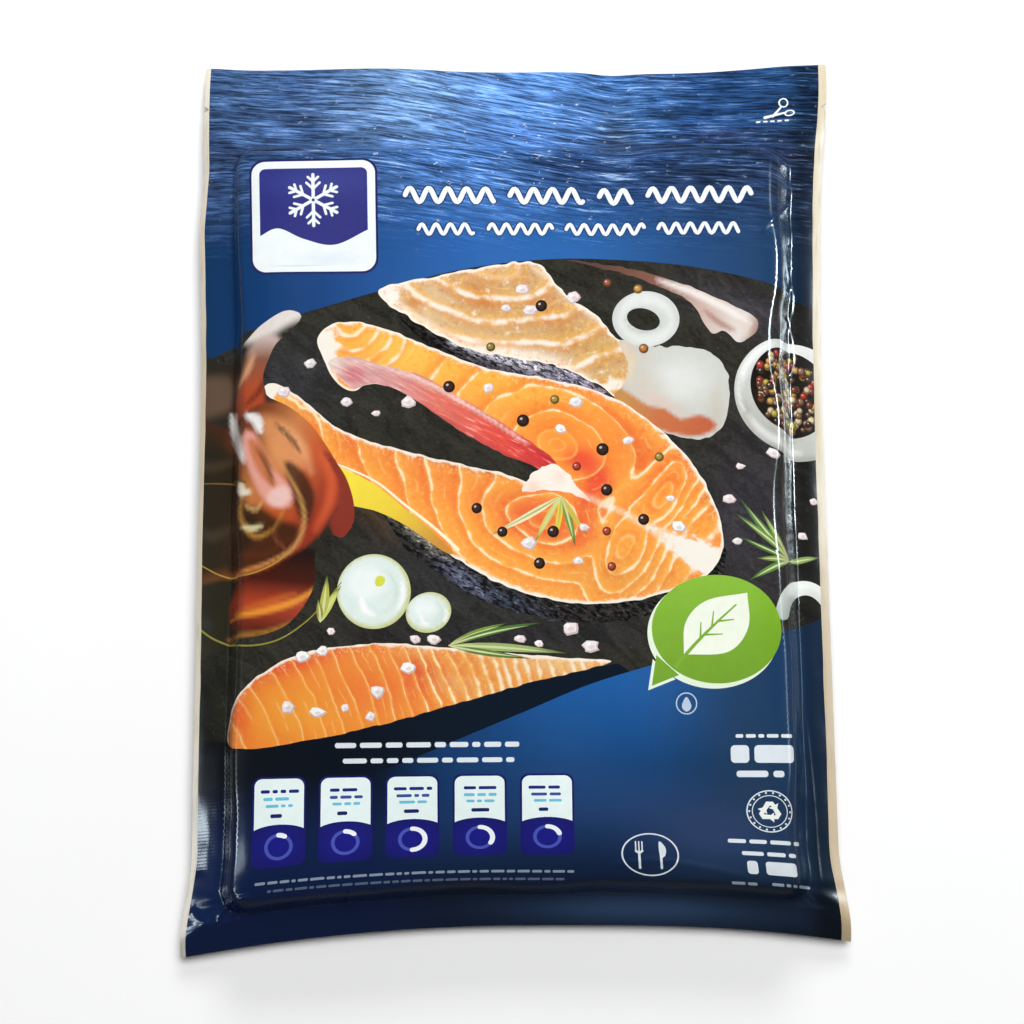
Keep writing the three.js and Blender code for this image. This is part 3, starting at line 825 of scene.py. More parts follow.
def sprig(base, leaves):
    """Rosemary: leaves (angle, length, width, bend, colour) from one point, each with a pale middle line."""
    for angle, length, width, bend, code in leaves:
        a = math.radians(angle)
        start = base[0] * math.cos(a) + base[1] * math.sin(a)
        field(needle(base, angle, length, width, bend),
              graded(angle, start, start + length, (0, "dfe29a"), (0.25, code), (0.7, code), (1, "3c5a2a")))
        field(needle(base, angle, length * 0.86, width * 0.3, bend), "b7bd62" if code > "e" else "d3dca0")


def lay_herbs():
    sprig((19, -6), [(208, 31, 2.5, 0.06, "f2e9c4"), (239, 21, 2.4, -0.05, "d8cf6a"),
                     (262, 17, 2.2, 0.05, "e8d638"), (285, 20, 2.8, 0.08, "6f9a3c"),
                     (303, 18, 2.0, -0.06, "e6b93c")])
    sprig((-25, -62), [(20, 24, 2.6, 0.1, "7f9a3e"), (13, 37, 2.2, 0.12, "4f7a35"),
                       (-4, 46, 3.0, 0.06, "9fb46e"), (-9, 32, 2.4, -0.05, "5f7f38")])
    sprig((108, -30), [(131, 30, 2.6, 0.1, "5b8a42"), (142, 28, 2.4, -0.06, "6f9446"),
                       (122, 22, 2.2, 0.05, "87a054"), (180, 14, 2.2, 0.0, "7d9b48"),
                       (206, 19, 2.6, -0.08, "5f8a3e"), (158, 22, 2.0, 0.08, "4d7836"),
                       (12, 14, 2.4, 0.1, "8aa65a")])
    sprig((-74, -53), [(60, 16, 2.8, 0.1, "c9cf62"), (82, 18, 3.4, -0.1, "b9b84a"),
                       (96, 9, 2.6, -0.1, "9a9438")])


def crystal(cx, cy, r, turns, reaches):
    """The outline of a grain of coarse salt."""
    return np.stack([cx + r * reaches * np.cos(turns) * 1.15, cy + r * reaches * np.sin(turns) * 0.85], 1)


def lay_scatter():
    """Salt and peppercorns, spread at random but never on top of each other."""
    rng = np.random.default_rng(8)
    placed = []

    def scatter(count, box, gap, put, within=None):
        tries = 0
        while count and tries < 4000:
            tries += 1
            p = np.array([rng.uniform(box[0], box[2]), rng.uniform(box[1], box[3])])
            if any(np.hypot(*(p - q)) < gap for q in placed) or (within and not within(p)):
                continue
            placed.append(p)
            put(*p)
            count -= 1

    def salt(x, y):
        r = rng.uniform(1.7, 3.3)
        tint = ["f8f0ee", "f4e4e4", "fbf8f4", "eee9ea"][rng.integers(4)]
        count = rng.integers(6, 10)
        turns = np.linspace(0, TAU, count, endpoint=False) + rng.uniform(-0.25, 0.25, count)
        reaches = rng.uniform(0.7, 1.15, count)
        field(crystal(x, y, r, turns, reaches), "ccb9b8")
        field(crystal(x - 0.08 * r, y + 0.12 * r, r * 0.84, turns, reaches), tint)
        field(crystal(x + 0.1 * r, y - 0.1 * r, r * 0.4, turns, reaches),
              spots(tint, ("d0bfbf", 0.6, x, y, r)))
        field(crystal(x - 0.3 * r, y + 0.3 * r, r * 0.3, turns, reaches), "fdfaf8")

    steak = spline([(-40, 44), (0, 36), (34, 28), (60, 12), (74, -8), (72, -28), (40, -40), (4, -34),
                    (-24, -18), (-20, -8), (10, -10), (22, 6), (4, 20), (-30, 38)], closed=True)

    def on_steak(place):
        return inside([steak], place[:1], place[1:])[0]

    whole = (-30, -40, 78, 40)
    scatter(9, whole, 13, lambda x, y: corn(x, y, rng.uniform(1.9, 2.5), "3b2620"), on_steak)
    scatter(3, whole, 12, lambda x, y: corn(x, y, 1.7, "b8432c"), on_steak)
    scatter(2, whole, 12, lambda x, y: corn(x, y, 1.8, "a58a35"), on_steak)
    scatter(9, whole, 8, salt, on_steak)
    for count, *box in ((2, -90, 30, -74, 56), (3, -72, 22, -14, 32), (4, 82, -24, 104, 12),
                        (3, -84, -68, -66, -56), (2, -70, -62, -20, -56), (4, 0, -66, 34, -52),
                        (6, -96, -92, -34, -66), (4, -30, 66, 26, 80), (2, 96, -20, 120, 0)):
        scatter(count, box, 6, salt)
    for x, y, r, code in ((12, 68, 2.3, "3a2a22"), (-8, 52, 1.8, "948338"), (38, 77, 1.8, "9a5a36"),
                          (50, 74.4, 1.9, "c8923c"), (52, 50.8, 1.9, "c07a34")):
        corn(x, y, r, code)


# ---------------------------------------------------------------- signs
WHITE, NAVY, PALE = "f1f8f9", "23235f", "dfe8ee"


def lay_emblem():
    """A snow crystal over a low wave on a badge."""
    cx, cy, w, h = -77, 105.5, 25.2, 23.8
    field(rounded(cx - w, cy - h, cx + w, cy + h, 6), NAVY)
    field(rounded(cx - w + 0.9, cy - h + 0.9, cx + w - 0.9, cy + h - 0.9, 5.4), WHITE)
    field(rounded(cx - w + 4, cy - h + 4, cx + w - 4, cy + h - 4, 2.4),
          spots("30327f", ("3f4694", 0.7, cx, cy + 14, 24, 6)))
    wave = spline([(cx - w + 3.9, cy - 8), (cx - 14, cy - 5), (cx - 4, cy - 9.5), (cx + 8, cy - 12),
                   (cx + w - 3.9, cy - 6)])
    low = [(cx + w - 3.9, cy - h + 3.5), (cx - w + 3.9, cy - h + 3.5)]
    field(np.vstack([wave, low]), spots(WHITE, ("dfeaf2", 0.8, cx + 4, cy - 18, 14, 3)))
    for k in range(6):
        a = math.radians(90 + 60 * k)

        def at(r, s=0.0):
            return cx + r * math.cos(a) - s * math.sin(a), cy + 6.5 + r * math.sin(a) + s * math.cos(a)

        bar([at(1.2), at(10.6)], 1.3, WHITE)
        for r, reach in ((4.6, 2.6), (7.6, 2.0)):
            for s in (-1, 1):
                bar([at(r), at(r + reach, s * reach)], 1.0, WHITE)


def lay_waves():
    """Two rows of small waves in groups."""
    rows = [
        (113.5, 2.9, 7.4, 2.0, ((-41, -6), (0, 29), (35, 48), (54, 95))),
        (99.3, 2.1, 5.6, 1.5, ((-36, -14), (-8.5, 17), (22, 53), (58, 90))),
    ]
    for y, rise, length, width, groups in rows:
        for x0, x1 in groups:
            x = np.arange(x0, x1, 0.5)
            line = np.stack([x, y + rise * np.sin(TAU * (x - x0) / length)], 1)
            bar(line, width + 1.0, "1b3a72")
            bar(line, width, WHITE)


def lay_leaf_badge():
    """A green oval with a leaf, and a small pointed tail."""
    cx, cy = 78, -56.5
    leaf_green = "7cae2b"
    green = graded(90, -80, -36, (0, "6f9f22"), (0.5, leaf_green), (1, "8bc034"))
    for dx, dy, grow, paint in ((-1.4, -1.6, 0.3, "e6f4dc"), (0, 0, 0, green)):
        tail = [(54.5 + dx, -66 + dy), (52.5 + dx, -77.5 + dy), (63 + dx, -73.5 + dy)]
        field(np.vstack([spline(tail[:2]), spline(tail[1:])[1:]]), paint)
        field(ellipse(cx + dx, cy + dy, 25 + grow, 20.2 + grow), paint)
    upper = spline([(65, -66), (66, -54), (74, -46), (90, -43)])
    lower = spline([(90, -43), (90, -56), (82, -65), (65, -66)])
    field(np.vstack([upper, lower[1:-1]]), "f3fae8")
    field(stroke([(62, -70), (70, -61.5), (78, -54), (85.5, -47.5)], (1.5, 0.6)), leaf_green)
    for x, y, dx, dy in ((71.5, -60, 0.4, 6), (76, -56, 0.8, 6), (73, -58.6, 7, 0.2), (78.5, -53.6, 6, 0.6)):
        bar([(x, y), (x + dx, y + dy)], (0.8, 0.4), leaf_green)


def lay_gauges():
    """Five tabs, each with bars of small print and a dial."""
    top, bottom, half, arch = -110, -146.5, 10.2, -131.5
    for n, (cx, level) in enumerate(zip((-89, -63.8, -38.6, -13.2, 12.2), (0.08, 0.12, 0.5, 0.34, 0.2))):
        violet = spots("17175e", ("1a1c88", 0.9, cx, -138, 10, 8))
        field(rounded(cx - half, bottom, cx + half, top, 3.4), violet)
        crown = ellipse(cx, arch - 3.2, 12.5, 5.6, start=41, end=139)
        left, right = (ellipse(cx + dx, -113.8, 3, start=a + 90, end=a) for dx, a in ((-6.4, 90), (6.4, 0)))
        field(along(np.vstack([crown, left, right])), "e9f8f6")
        words(cx - 7 + n % 2, cx + 7.5 - n % 2, -115.8, 1.35, "22267a", 60 + n)
        words(cx - 6, cx + 6.5, -118.8, 1.3, "3d4ca0" if n % 3 else "6cc0dc", 70 + n)
        words(cx - 5, cx + 5.5, -121.6, 1.2, "6cc0dc", 80 + n)
        words(cx - 3.2, cx + 3.6, -125.6, 1.6, "1b2560", 90 + n)
        ring(cx, -138.2, 5.4, 5.4, 1.3, "4b56b4")
        dial = ellipse(cx, -138.2, 4.75, start=90, end=90 - 360 * level, step=0.8)
        bar(dial, 1.9, "f4f8ff")


def lay_loop_sign(cx, cy):
    """Three arrows that chase each other, in a beaded ring."""
    ring(cx, cy, 9, 9, 0.5, PALE)
    ring(cx, cy, 6.9, 6.9, 0.35, PALE)
    for k in range(18):
        a = TAU * k / 18
        field(ellipse(cx + 7.9 * math.cos(a), cy + 7.9 * math.sin(a), 0.42, step=0.5), PALE)
    arrow = np.array([(-3.0, 1.2), (-1.4, 4.2), (1.2, 4.2), (2.0, 2.9), (3.2, 3.6), (2.6, 0.4), (-0.4, 1.5),
                      (0.7, 2.1), (0.1, 2.6), (-1.5, 0.4)])
    for k in range(3):
        c, s = math.cos(-TAU * k / 3), math.sin(-TAU * k / 3)
        field(arrow @ np.array([(c, s), (-s, c)]) + (cx, cy), "edf3ee")


def lay_table_sign(cx, cy):
    """A fork and a knife in a ring."""
    ring(cx, cy, 10.8, 9.6, 0.6, PALE)
    for dx in (-5.3, -4.1, -2.9):
        bar([(cx + dx, cy + 5.7), (cx + dx, cy + 1.7)], 0.5, PALE)
    field(stroke([(cx - 5.3, cy + 1.5), (cx - 4.1, cy + 0.5), (cx - 2.9, cy + 1.5)], 0.9), PALE)
    bar([(cx - 4.1, cy + 1.3), (cx - 4.1, cy - 6.1)], 0.9, PALE)
    blade = [(cx + 3.5, cy + 5.9), (cx + 5.9, cy + 2.9), (cx + 5.5, cy - 0.7), (cx + 3.7, cy - 1.1)]
    field(spline(blade, 0.8, closed=True), PALE)
    bar([(cx + 4, cy + 0.3), (cx + 4, cy - 6.1)], 0.9, PALE)


def lay_signs():
    """Plain signs on the right and along the bottom, and bars for lines of small print."""
    for x0, x1, y, height, seed in ((84, 106, -96, 1.3, 30), (84, 106, -110.6, 2.6, 31),
                                    (80, 110, -139.4, 1.7, 40), (85, 108, -144.6, 1.7, 41),
                                    (-68, 2, -98.4, 1.9, 50), (-65, 0, -104.3, 1.9, 51)):
        words(x0, x1, y, height, PALE, seed)
    for x0, y0, x1, y1, corner in ((82, -106.2, 89, -99.4, 1.6), (91, -106.2, 106.5, -99.4, 1.6),
                                   (86.5, -153.4, 90.5, -147.8, 1.2), (93.5, -153.4, 105.5, -147.8, 1.2)):
        field(rounded(x0, y0, x1, y1, corner), PALE)
    words(80, 92, -157.6, 1.2, "9fb0bd", 42)
    words(95, 111, -157.2, 1.2, "9fb0bd", 43)
    words(-97, 24, -152.4, 1.1, "8d9db0", 52, -0.014)
    words(-92, 20, -155.8, 1.0, "5d6d84", 53, -0.014)
    lay_loop_sign(96.3, -126.2)
    lay_table_sign(50.5, -146.3)
    grey_blue, light = "b9cbdc", "f4f8fa"
    ring(65.6, -84, 4.1, 4.1, 0.45, grey_blue)
    drop = [(65.6, -81.6), (67.4, -84.6), (66.8, -86.4), (65.6, -87), (64.4, -86.4), (63.8, -84.6)]
    field(spline(drop, 0.6, closed=True), grey_blue)
    for k in range(5):  # scissors over a dashed line
        field(rounded(98 + 2.7 * k, 150.6, 99.7 + 2.7 * k, 151.3, 0.3), light)
    ring(108.2, 159.0, 1.9, 2.2, 0.6, light, 20)
    ring(110.6, 154.3, 2.1, 1.5, 0.6, light, 10)
    bar([(109.2, 154.6), (101.4, 152.8)], (0.7, 1.3), light)
    bar([(107.4, 157.2), (104.4, 153.2)], (0.7, 1.1), light)


def lay_bare_edges():
    """Unprinted film along both sides."""
    y = np.arange(-HALF_LENGTH - 3, HALF_LENGTH + 4, 3.0)
    left = 2.1 + 0.5 * noise(y * 0, y, 60, 31) + 0.15 * noise(y * 0, y, 9, 32)
    right = 3.5 + 0.5 * noise(y * 0, y, 70, 33) + 0.15 * noise(y * 0, y, 9, 34)
    creams = [graded(90, -176, 176, (0, "e3ddd0"), (0.6, "cdbfa6"), (1, "ebe3d4")),
              graded(90, -176, 176, (0, "c9b493"), (0.5, "cbb999"), (1, "e3d6b9"))]
    for side, width, paint in ((-1, left, creams[0]), (1, right, creams[1])):
        edge = np.stack([side * (HALF_WIDTH - width), y], 1)
        far = [(side * (HALF_WIDTH + 4), y[-1]), (side * (HALF_WIDTH + 4), y[0])]
        field(np.vstack([edge, far]), paint, "bare")


def lay_front():
    for lay in (lay_sea_and_slate, lay_second_steak, lay_onions, lay_bowl, lay_main_steak, lay_pot,
                lay_fillet, lay_herbs, lay_scatter, lay_emblem, lay_waves, lay_leaf_badge, lay_gauges,
                lay_signs, lay_bare_edges):
        lay()


def lay_back():
    """A plain back: blue between bare edges, with an empty table."""
    wide, low = HALF_WIDTH + 4, HALF_LENGTH + 4
    blues = graded(90, -176, 176, (0, "10203f"), (0.5, "1a3d74"), (1, "2a5a9a"))
    field(along([(-wide, -low), (wide, -low), (wide, low), (-wide, low)], 30), blues, "sea")
    field(rounded(-84, -96, 84, 84, 7), "e9eef0")
    for k in range(9):
        y = 62 - 17 * k
        field(rounded(-74, y - 0.5, 74, y + 0.5, 0.4), "2a3f78")
        words(-72, -20 + 6 * (k % 3), y + 8, 2.2, "3a4a80", 100 + k)
        words(40, 62 + 4 * (k % 2), y + 8, 2.2, "3a4a80", 120 + k)
    for side in (-1, 1):
        strip = [(side * 119, -low), (side * wide, -low), (side * wide, low), (side * 119, low)]
        field(along(strip, 20), "dccdb2", "bare")


# ---------------------------------------------------------------- the mesh
def outer_edge():
    """The cut edge of the pouch, with a tear notch in each side."""
    notch = [(NOTCH_Y - NOTCH_HALF_WIDTH, 0), (NOTCH_Y, NOTCH_DEPTH), (NOTCH_Y + NOTCH_HALF_WIDTH, 0)]
    right = [(HALF_WIDTH, -HALF_LENGTH), *[(HALF_WIDTH - d, y) for y, d in notch], (HALF_WIDTH, HALF_LENGTH)]
    return along(right + [(-x, y) for x, y in right[::-1]], GRID)


def beside(points, half):
    """A crease's line with more on both sides, so that the mesh holds its fold."""
    line = spline(points, 1.2)
    way = np.gradient(line, axis=0)
    way /= np.linalg.norm(way, axis=1, keepdims=True)
    side = np.stack([-way[:, 1], way[:, 0]], 1)
    return [line + side * half * k for k in (-2, -1.2, -0.6, 0, 0.6, 1.2, 2)]


def triangulate(edge, lines, open_lines, spacing):
    """Triangles inside the edge that follow all lines, with free points about spacing mm apart."""
    row_share = 0.866  # of the spacing, from one row of even triangles to the next
    points, edges = [], []
    for line, closed in [(edge, True)] + [(l, True) for l in lines] + [(l, False) for l in open_lines]:
        first = len(points)
        points.extend(map(tuple, line))
        edges.extend((first + k, first + k + 1) for k in range(len(line) - 1))
        if closed:
            edges.append((len(points) - 1, first))
    near = kdtree.KDTree(len(points))
    for k, (x, y) in enumerate(points):
        near.insert((x, y, 0), k)
    near.balance()
    for k, y in enumerate(np.arange(-HALF_LENGTH + spacing / 2, HALF_LENGTH, spacing * row_share)):
        first_x = -HALF_WIDTH + spacing * (0.5 + 0.5 * (k % 2))
        for x in np.arange(first_x, HALF_WIDTH - spacing * 0.3, spacing):
            if near.find((x, y, 0))[2] > 0.5 * spacing:
                points.append((x, y))
    made, _, faces, *_ = delaunay_2d_cdt([Vector(p) for p in points], edges, [], 0, 1e-4)
    xy = np.array([v[:] for v in made])
    faces = np.array(faces)
    middle = xy[faces].mean(1)
    faces = faces[inside([edge], middle[:, 0], middle[:, 1])]
    a, b, c = (xy[faces[:, k]] for k in range(3))
    turn = (b[:, 0] - a[:, 0]) * (c[:, 1] - a[:, 1]) - (b[:, 1] - a[:, 1]) * (c[:, 0] - a[:, 0])
    faces[turn < 0] = faces[turn < 0][:, ::-1]
    faces = faces[np.abs(turn) > 1e-9]
    used, faces = np.unique(faces, return_inverse=True)
    return xy[used], faces.reshape(-1, 3)


def border_loop(faces):
    """The vertices round the edge of the triangles, in order."""
    pairs = np.vstack([faces[:, [0, 1]], faces[:, [1, 2]], faces[:, [2, 0]]])
    keys = {(a, b) for a, b in pairs.tolist()}
    after = {a: b for a, b in keys if (b, a) not in keys}
    loop = [min(after)]
    while after[loop[-1]] != loop[0]:
        loop.append(after[loop[-1]])
    return np.array(loop)


def painted(xy, faces):
    """Each corner's colour and grain, and each triangle's kind, from the fields that were laid."""
    middle = xy[faces].mean(1)
    owner = np.zeros(len(faces), int)
    for n, item in enumerate(fields):
        corners = np.vstack(item["outlines"])
        near = np.all((middle > corners.min(0)) & (middle < corners.max(0)), 1).nonzero()[0]
        owner[near[inside(item["outlines"], middle[near, 0], middle[near, 1])]] = n
    colour, grain = np.ones((len(faces), 3, 4)), np.zeros((len(faces), 3, 4))
    for n, item in enumerate(fields):
        mine = (owner == n).nonzero()[0]
        x, y = xy[faces[mine]].reshape(-1, 2).T
        if len(mine):
            colour[mine, :, :3] = item["paint"](x, y).reshape(-1, 3, 3)
            if item["grain"]:
                grain[mine] = item["grain"](x, y).reshape(-1, 3, 4)
    kinds = np.array([item["kind"] for item in fields])[owner]
    return colour, grain, kinds


def build_mesh(name):
    """The whole pouch as one closed skin."""
    fields.clear()
    lay_front()
    lines = [line for item in fields for line in item["outlines"]]
    folds = [line for points, _, half in CREASES for line in beside(points, half)]
    front_xy, front_faces = triangulate(outer_edge(), lines, folds, GRID)
    front_paint = painted(front_xy, front_faces)
    loop = border_loop(front_faces)

    fields.clear()
    lay_back()
    lines = [line for item in fields for line in item["outlines"] if np.abs(line[:, 0]).max() < HALF_WIDTH]
    back_xy, back_faces = triangulate(front_xy[loop], lines, [], BACK_GRID)
    back_paint = painted(back_xy, back_faces)
    back_loop = border_loop(back_faces)
    start = np.argmin(np.hypot(*(back_xy[back_loop] - front_xy[loop[0]]).T))
    back_loop = np.roll(back_loop, -start)

    upper, lower = loop, back_loop + len(front_xy)
    upper_next, lower_next = np.roll(upper, -1), np.roll(lower, -1)
    rim_faces = np.vstack([np.stack([lower, lower_next, upper_next], 1),
                           np.stack([lower, upper_next, upper], 1)])
    faces = np.vstack([front_faces, back_faces[:, ::-1] + len(front_xy), rim_faces])
    xy = np.vstack([front_xy, back_xy])
    places = np.vstack([front_place(*front_xy.T), back_place(*back_xy.T)]) / 1000

    corners = places[rim_faces]
    rim_normals = np.cross(corners[:, 1] - corners[:, 0], corners[:, 2] - corners[:, 0])
    rim_normals /= np.maximum(np.linalg.norm(rim_normals, axis=1, keepdims=True), 1e-12)
    normals = np.vstack([
        normals_of(front_place, *front_xy.T)[front_faces].reshape(-1, 3),
        -normals_of(back_place, *back_xy.T)[back_faces[:, ::-1]].reshape(-1, 3),
        np.repeat(rim_normals, 3, 0),
    ])
    cream = np.tile([*linear("d9ccb4"), 1], (len(rim_faces), 3, 1))
    colour = np.vstack([front_paint[0], back_paint[0][:, ::-1], cream])
    grain = np.vstack([front_paint[1], back_paint[1][:, ::-1], np.zeros_like(cream)])
    kinds = np.concatenate([front_paint[2], back_paint[2], np.full(len(rim_faces), KINDS.index("bare"))])
    weld = 1 - smooth(front_share(*xy.T), 0, 0.06)

    mesh = bpy.data.meshes.new(name)
    mesh.vertices.add(len(places))
    mesh.vertices.foreach_set("co", places.ravel())
    mesh.loops.add(faces.size)
    mesh.loops.foreach_set("vertex_index", faces.ravel().astype(np.int32))
    mesh.polygons.add(len(faces))
    mesh.polygons.foreach_set("loop_start", np.arange(0, faces.size, 3, dtype=np.int32))
    mesh.polygons.foreach_set("material_index", kinds.astype(np.int32))
    mesh.update(calc_edges=True)
    film = mesh.attributes.new("film", "FLOAT_VECTOR", "POINT")
    film.data.foreach_set("vector", np.column_stack([xy, weld]).ravel())
    for attribute, values in (("ink", colour), ("grain", grain)):
        layer = mesh.attributes.new(attribute, "FLOAT_COLOR", "CORNER")
        layer.data.foreach_set("color", values.ravel())
    # A map of the flat film for baking: the front beside the back, the rim on the edge of the back's half
    flat = xy[faces.ravel()]
    on_back = np.repeat(np.arange(len(faces)) >= len(front_faces), 3)
    half_u, half_v = 0.245, 0.49  # a little less than their share of the map
    u = flat[:, 0] / HALF_WIDTH * half_u + 0.25 + 0.5 * on_back
    v = flat[:, 1] / HALF_LENGTH * half_v + 0.5
    mesh.uv_layers.new(name="OFBake").uv.foreach_set("vector", np.column_stack([u, v]).ravel())
    mesh.normals_split_custom_set(normals)
    return mesh


# ---------------------------------------------------------------- materials
INK_STRENGTH = 0.91  # how much of the light the whitest print gives back
PRINT_ROUGHNESS, BARE_ROUGHNESS = 0.17, 0.36
IOR = 1.5
RIB_SPACING = 1.25  # mm, of the fine ribs pressed into the welds
RIB_HEIGHT, MORE_RIB_HEIGHT, DIMPLE_HEIGHT = 0.001, 0.002, 0.02  # mm, the second one low on the left


def rgb(code):
    return (*(linear(code) * INK_STRENGTH), 1.0)


class Film:
    """The laminated print: what lies under one clear, glossy layer, with the colour that a field adds."""

    def __init__(self, name):
        self.material = bpy.data.materials.new("film_" + name)
        self.material.use_nodes = True
        self.nodes = self.material.node_tree.nodes
        self.links = self.material.node_tree.links
        self.shader = self.nodes["Principled BSDF"]
        self.place = self.attribute("film").outputs["Vector"]
        self.ink = self.attribute("ink").outputs["Color"]

    def put(self, socket, value):
        if isinstance(value, bpy.types.NodeSocket):
            self.links.new(value, socket)
        else:
            socket.default_value = value

    def attribute(self, name):
        node = self.nodes.new("ShaderNodeAttribute")
        node.attribute_name = name
        return node

    def math(self, kind, a, b=0.5, c=0.5):
        node = self.nodes.new("ShaderNodeMath")
        node.operation = kind
        for socket, value in zip(node.inputs, (a, b, c)):
            self.put(socket, value)
        return node.outputs[0]

    def step(self, value, low, high, start=0.0, end=1.0):
        """A smooth step of value between low and high."""
        node = self.nodes.new("ShaderNodeMapRange")
        node.interpolation_type = "SMOOTHSTEP"
        for socket, given in zip(node.inputs, (value, low, high, start, end)):
            self.put(socket, given)
        return node.outputs[0]

    def noise(self, stretch, detail=3.0, rough=0.55, turn=0.0, warp=0.0, place=None):
        """Noise with features of about stretch mm across and along the film."""
        mapping = self.nodes.new("ShaderNodeMapping")
        mapping.vector_type = "TEXTURE"
        self.put(mapping.inputs["Vector"], place or self.place)
        mapping.inputs["Rotation"].default_value = (0, 0, math.radians(turn))
        mapping.inputs["Scale"].default_value = (stretch[0], stretch[1], 1)
        node = self.nodes.new("ShaderNodeTexNoise")
        node.noise_dimensions = "2D"
        self.put(node.inputs["Vector"], mapping.outputs[0])
        for name, value in (("Scale", 1.0), ("Detail", detail), ("Roughness", rough), ("Distortion", warp)):
            node.inputs[name].default_value = value
        return node.outputs["Fac"]

    def mix(self, factor, a, b):
        node = self.nodes.new("ShaderNodeMix")
        node.data_type = "RGBA"
        for key, value in ((0, factor), (6, a), (7, b)):  # the places of the colour mode's sockets
            self.put(node.inputs[key], value)
        return node.outputs[2]

    def scaled(self, colour, amount):
        node = self.nodes.new("ShaderNodeVectorMath")
        node.operation = "SCALE"
        self.put(node.inputs[0], colour)
        self.put(node.inputs["Scale"], amount)
        return node.outputs[0]

    def times(self, colour, shares):
        """A colour with each of its channels multiplied."""
        node = self.nodes.new("ShaderNodeVectorMath")
        node.operation = "MULTIPLY"
        self.put(node.inputs[0], colour)
        self.put(node.inputs[1], shares)
        return node.outputs[0]

    def product(self, *values):
        result, *others = values
        for value in others:
            result = self.math("MULTIPLY", result, value)
        return result

    def over(self, colour, top, *shares):
        """A colour with another one, or a colour code's, over it, as strong as the product of the shares."""
        return self.mix(self.product(*shares), colour, rgb(top) if isinstance(top, str) else top)

    def parts(self, vector):
        node = self.nodes.new("ShaderNodeSeparateXYZ")
        self.put(node.inputs[0], vector)
        return node.outputs

    def finish(self, colour, base_roughness=PRINT_ROUGHNESS):
        """Gives the shader its colour, and the clear layer's roughness and fine relief."""
        x, y, weld = self.parts(self.place)
        smear = self.math("SUBTRACT", self.noise((26, 40), 4.0, 0.6), 0.5)
        roughness = self.math("MULTIPLY_ADD", smear, 0.12, base_roughness)
        roughness = self.math("MULTIPLY_ADD", weld, 0.02, roughness)
        ribs = self.math("SINE", self.product(y, TAU / RIB_SPACING))
        pressed = self.product(self.step(x, -108.0, -116.0), self.step(y, -96.0, -122.0))
        height = self.math("MULTIPLY_ADD", pressed, MORE_RIB_HEIGHT, RIB_HEIGHT)
        relief = self.product(ribs, weld, height)
        relief = self.math("MULTIPLY_ADD", self.noise((3.2, 4.6), 3.0), DIMPLE_HEIGHT, relief)
        bump = self.nodes.new("ShaderNodeBump")
        bump.inputs["Strength"].default_value = 1.0
        bump.inputs["Distance"].default_value = 0.001  # the relief is in mm
        self.put(bump.inputs["Height"], relief)
        self.put(self.shader.inputs["Base Color"], colour)
        self.put(self.shader.inputs["Roughness"], roughness)
        self.put(self.shader.inputs["Normal"], bump.outputs[0])
        self.shader.inputs["IOR"].default_value = IOR
        return self.material


def sea_film():
    """Fine streaks of water that sink a little in the middle and fade out down the film, with some spray."""
    film = Film("sea")
    x, y, _ = film.parts(film.place)
    strength = film.step(y, 84.0, 124.0)
    bent = film.nodes.new("ShaderNodeCombineXYZ")
    film.put(bent.inputs[0], x)
    film.put(bent.inputs[1], film.math("ADD", y, film.step(x, -70.0, 45.0, 0.0, 11.0)))
    bent = bent.outputs[0]
    long_ones = film.noise((22, 1.25), 5.0, 0.65, turn=-3, warp=0.25, place=bent)
    short_ones = film.noise((8, 0.62), 3.0, 0.65, turn=-4, warp=0.2, place=bent)
    broad = film.noise((40, 6.0), 4.0, 0.55, turn=-2, warp=0.3, place=bent)
    streaks = film.math("ADD", film.product(long_ones, 0.6), film.product(short_ones, 0.4))
    tone = film.product(film.step(streaks, 0.4, 0.6, 0.3, 1.45), film.step(broad, 0.34, 0.62, 0.66, 1.2))
    tone = film.math("MULTIPLY_ADD", film.math("SUBTRACT", tone, 1.0), strength, 1.0)
    colour = film.scaled(film.ink, film.product(tone, INK_STRENGTH))
    sunlit = film.product(film.step(x, 90.0, 20.0, 0.25, 0.95), film.step(x, -110.0, -25.0, 0.25, 1.0))
    crests = film.product(film.step(streaks, 0.55, 0.64), film.step(broad, 0.42, 0.6))
    colour = film.over(colour, "b6d6f8", crests, strength, sunlit)
    spray = film.step(film.noise((5, 3), 4.0, 0.7), 0.66, 0.76)
    return film.finish(film.over(colour, "dcecfb", spray, strength, sunlit, 0.8))


def slate_film():
    """Dark stone with a slanting grain, grit and a few paler chips."""
    film = Film("slate")
    stone = film.noise((17, 6), 6.0, 0.7, turn=-38, warp=0.6)
    tone = film.step(stone, 0.3, 0.72, 0.62 * INK_STRENGTH, 1.3 * INK_STRENGTH)
    grit = film.step(film.noise((1.6, 1.2), 3.0, 0.7), 0.3, 0.7, 0.8, 1.2)
    chips = film.step(film.noise((3.0, 1.1), 2.0, turn=-50), 0.7, 0.8)
    return film.finish(film.over(film.scaled(film.scaled(film.ink, tone), grit), "6f6f7c", chips, 0.2))


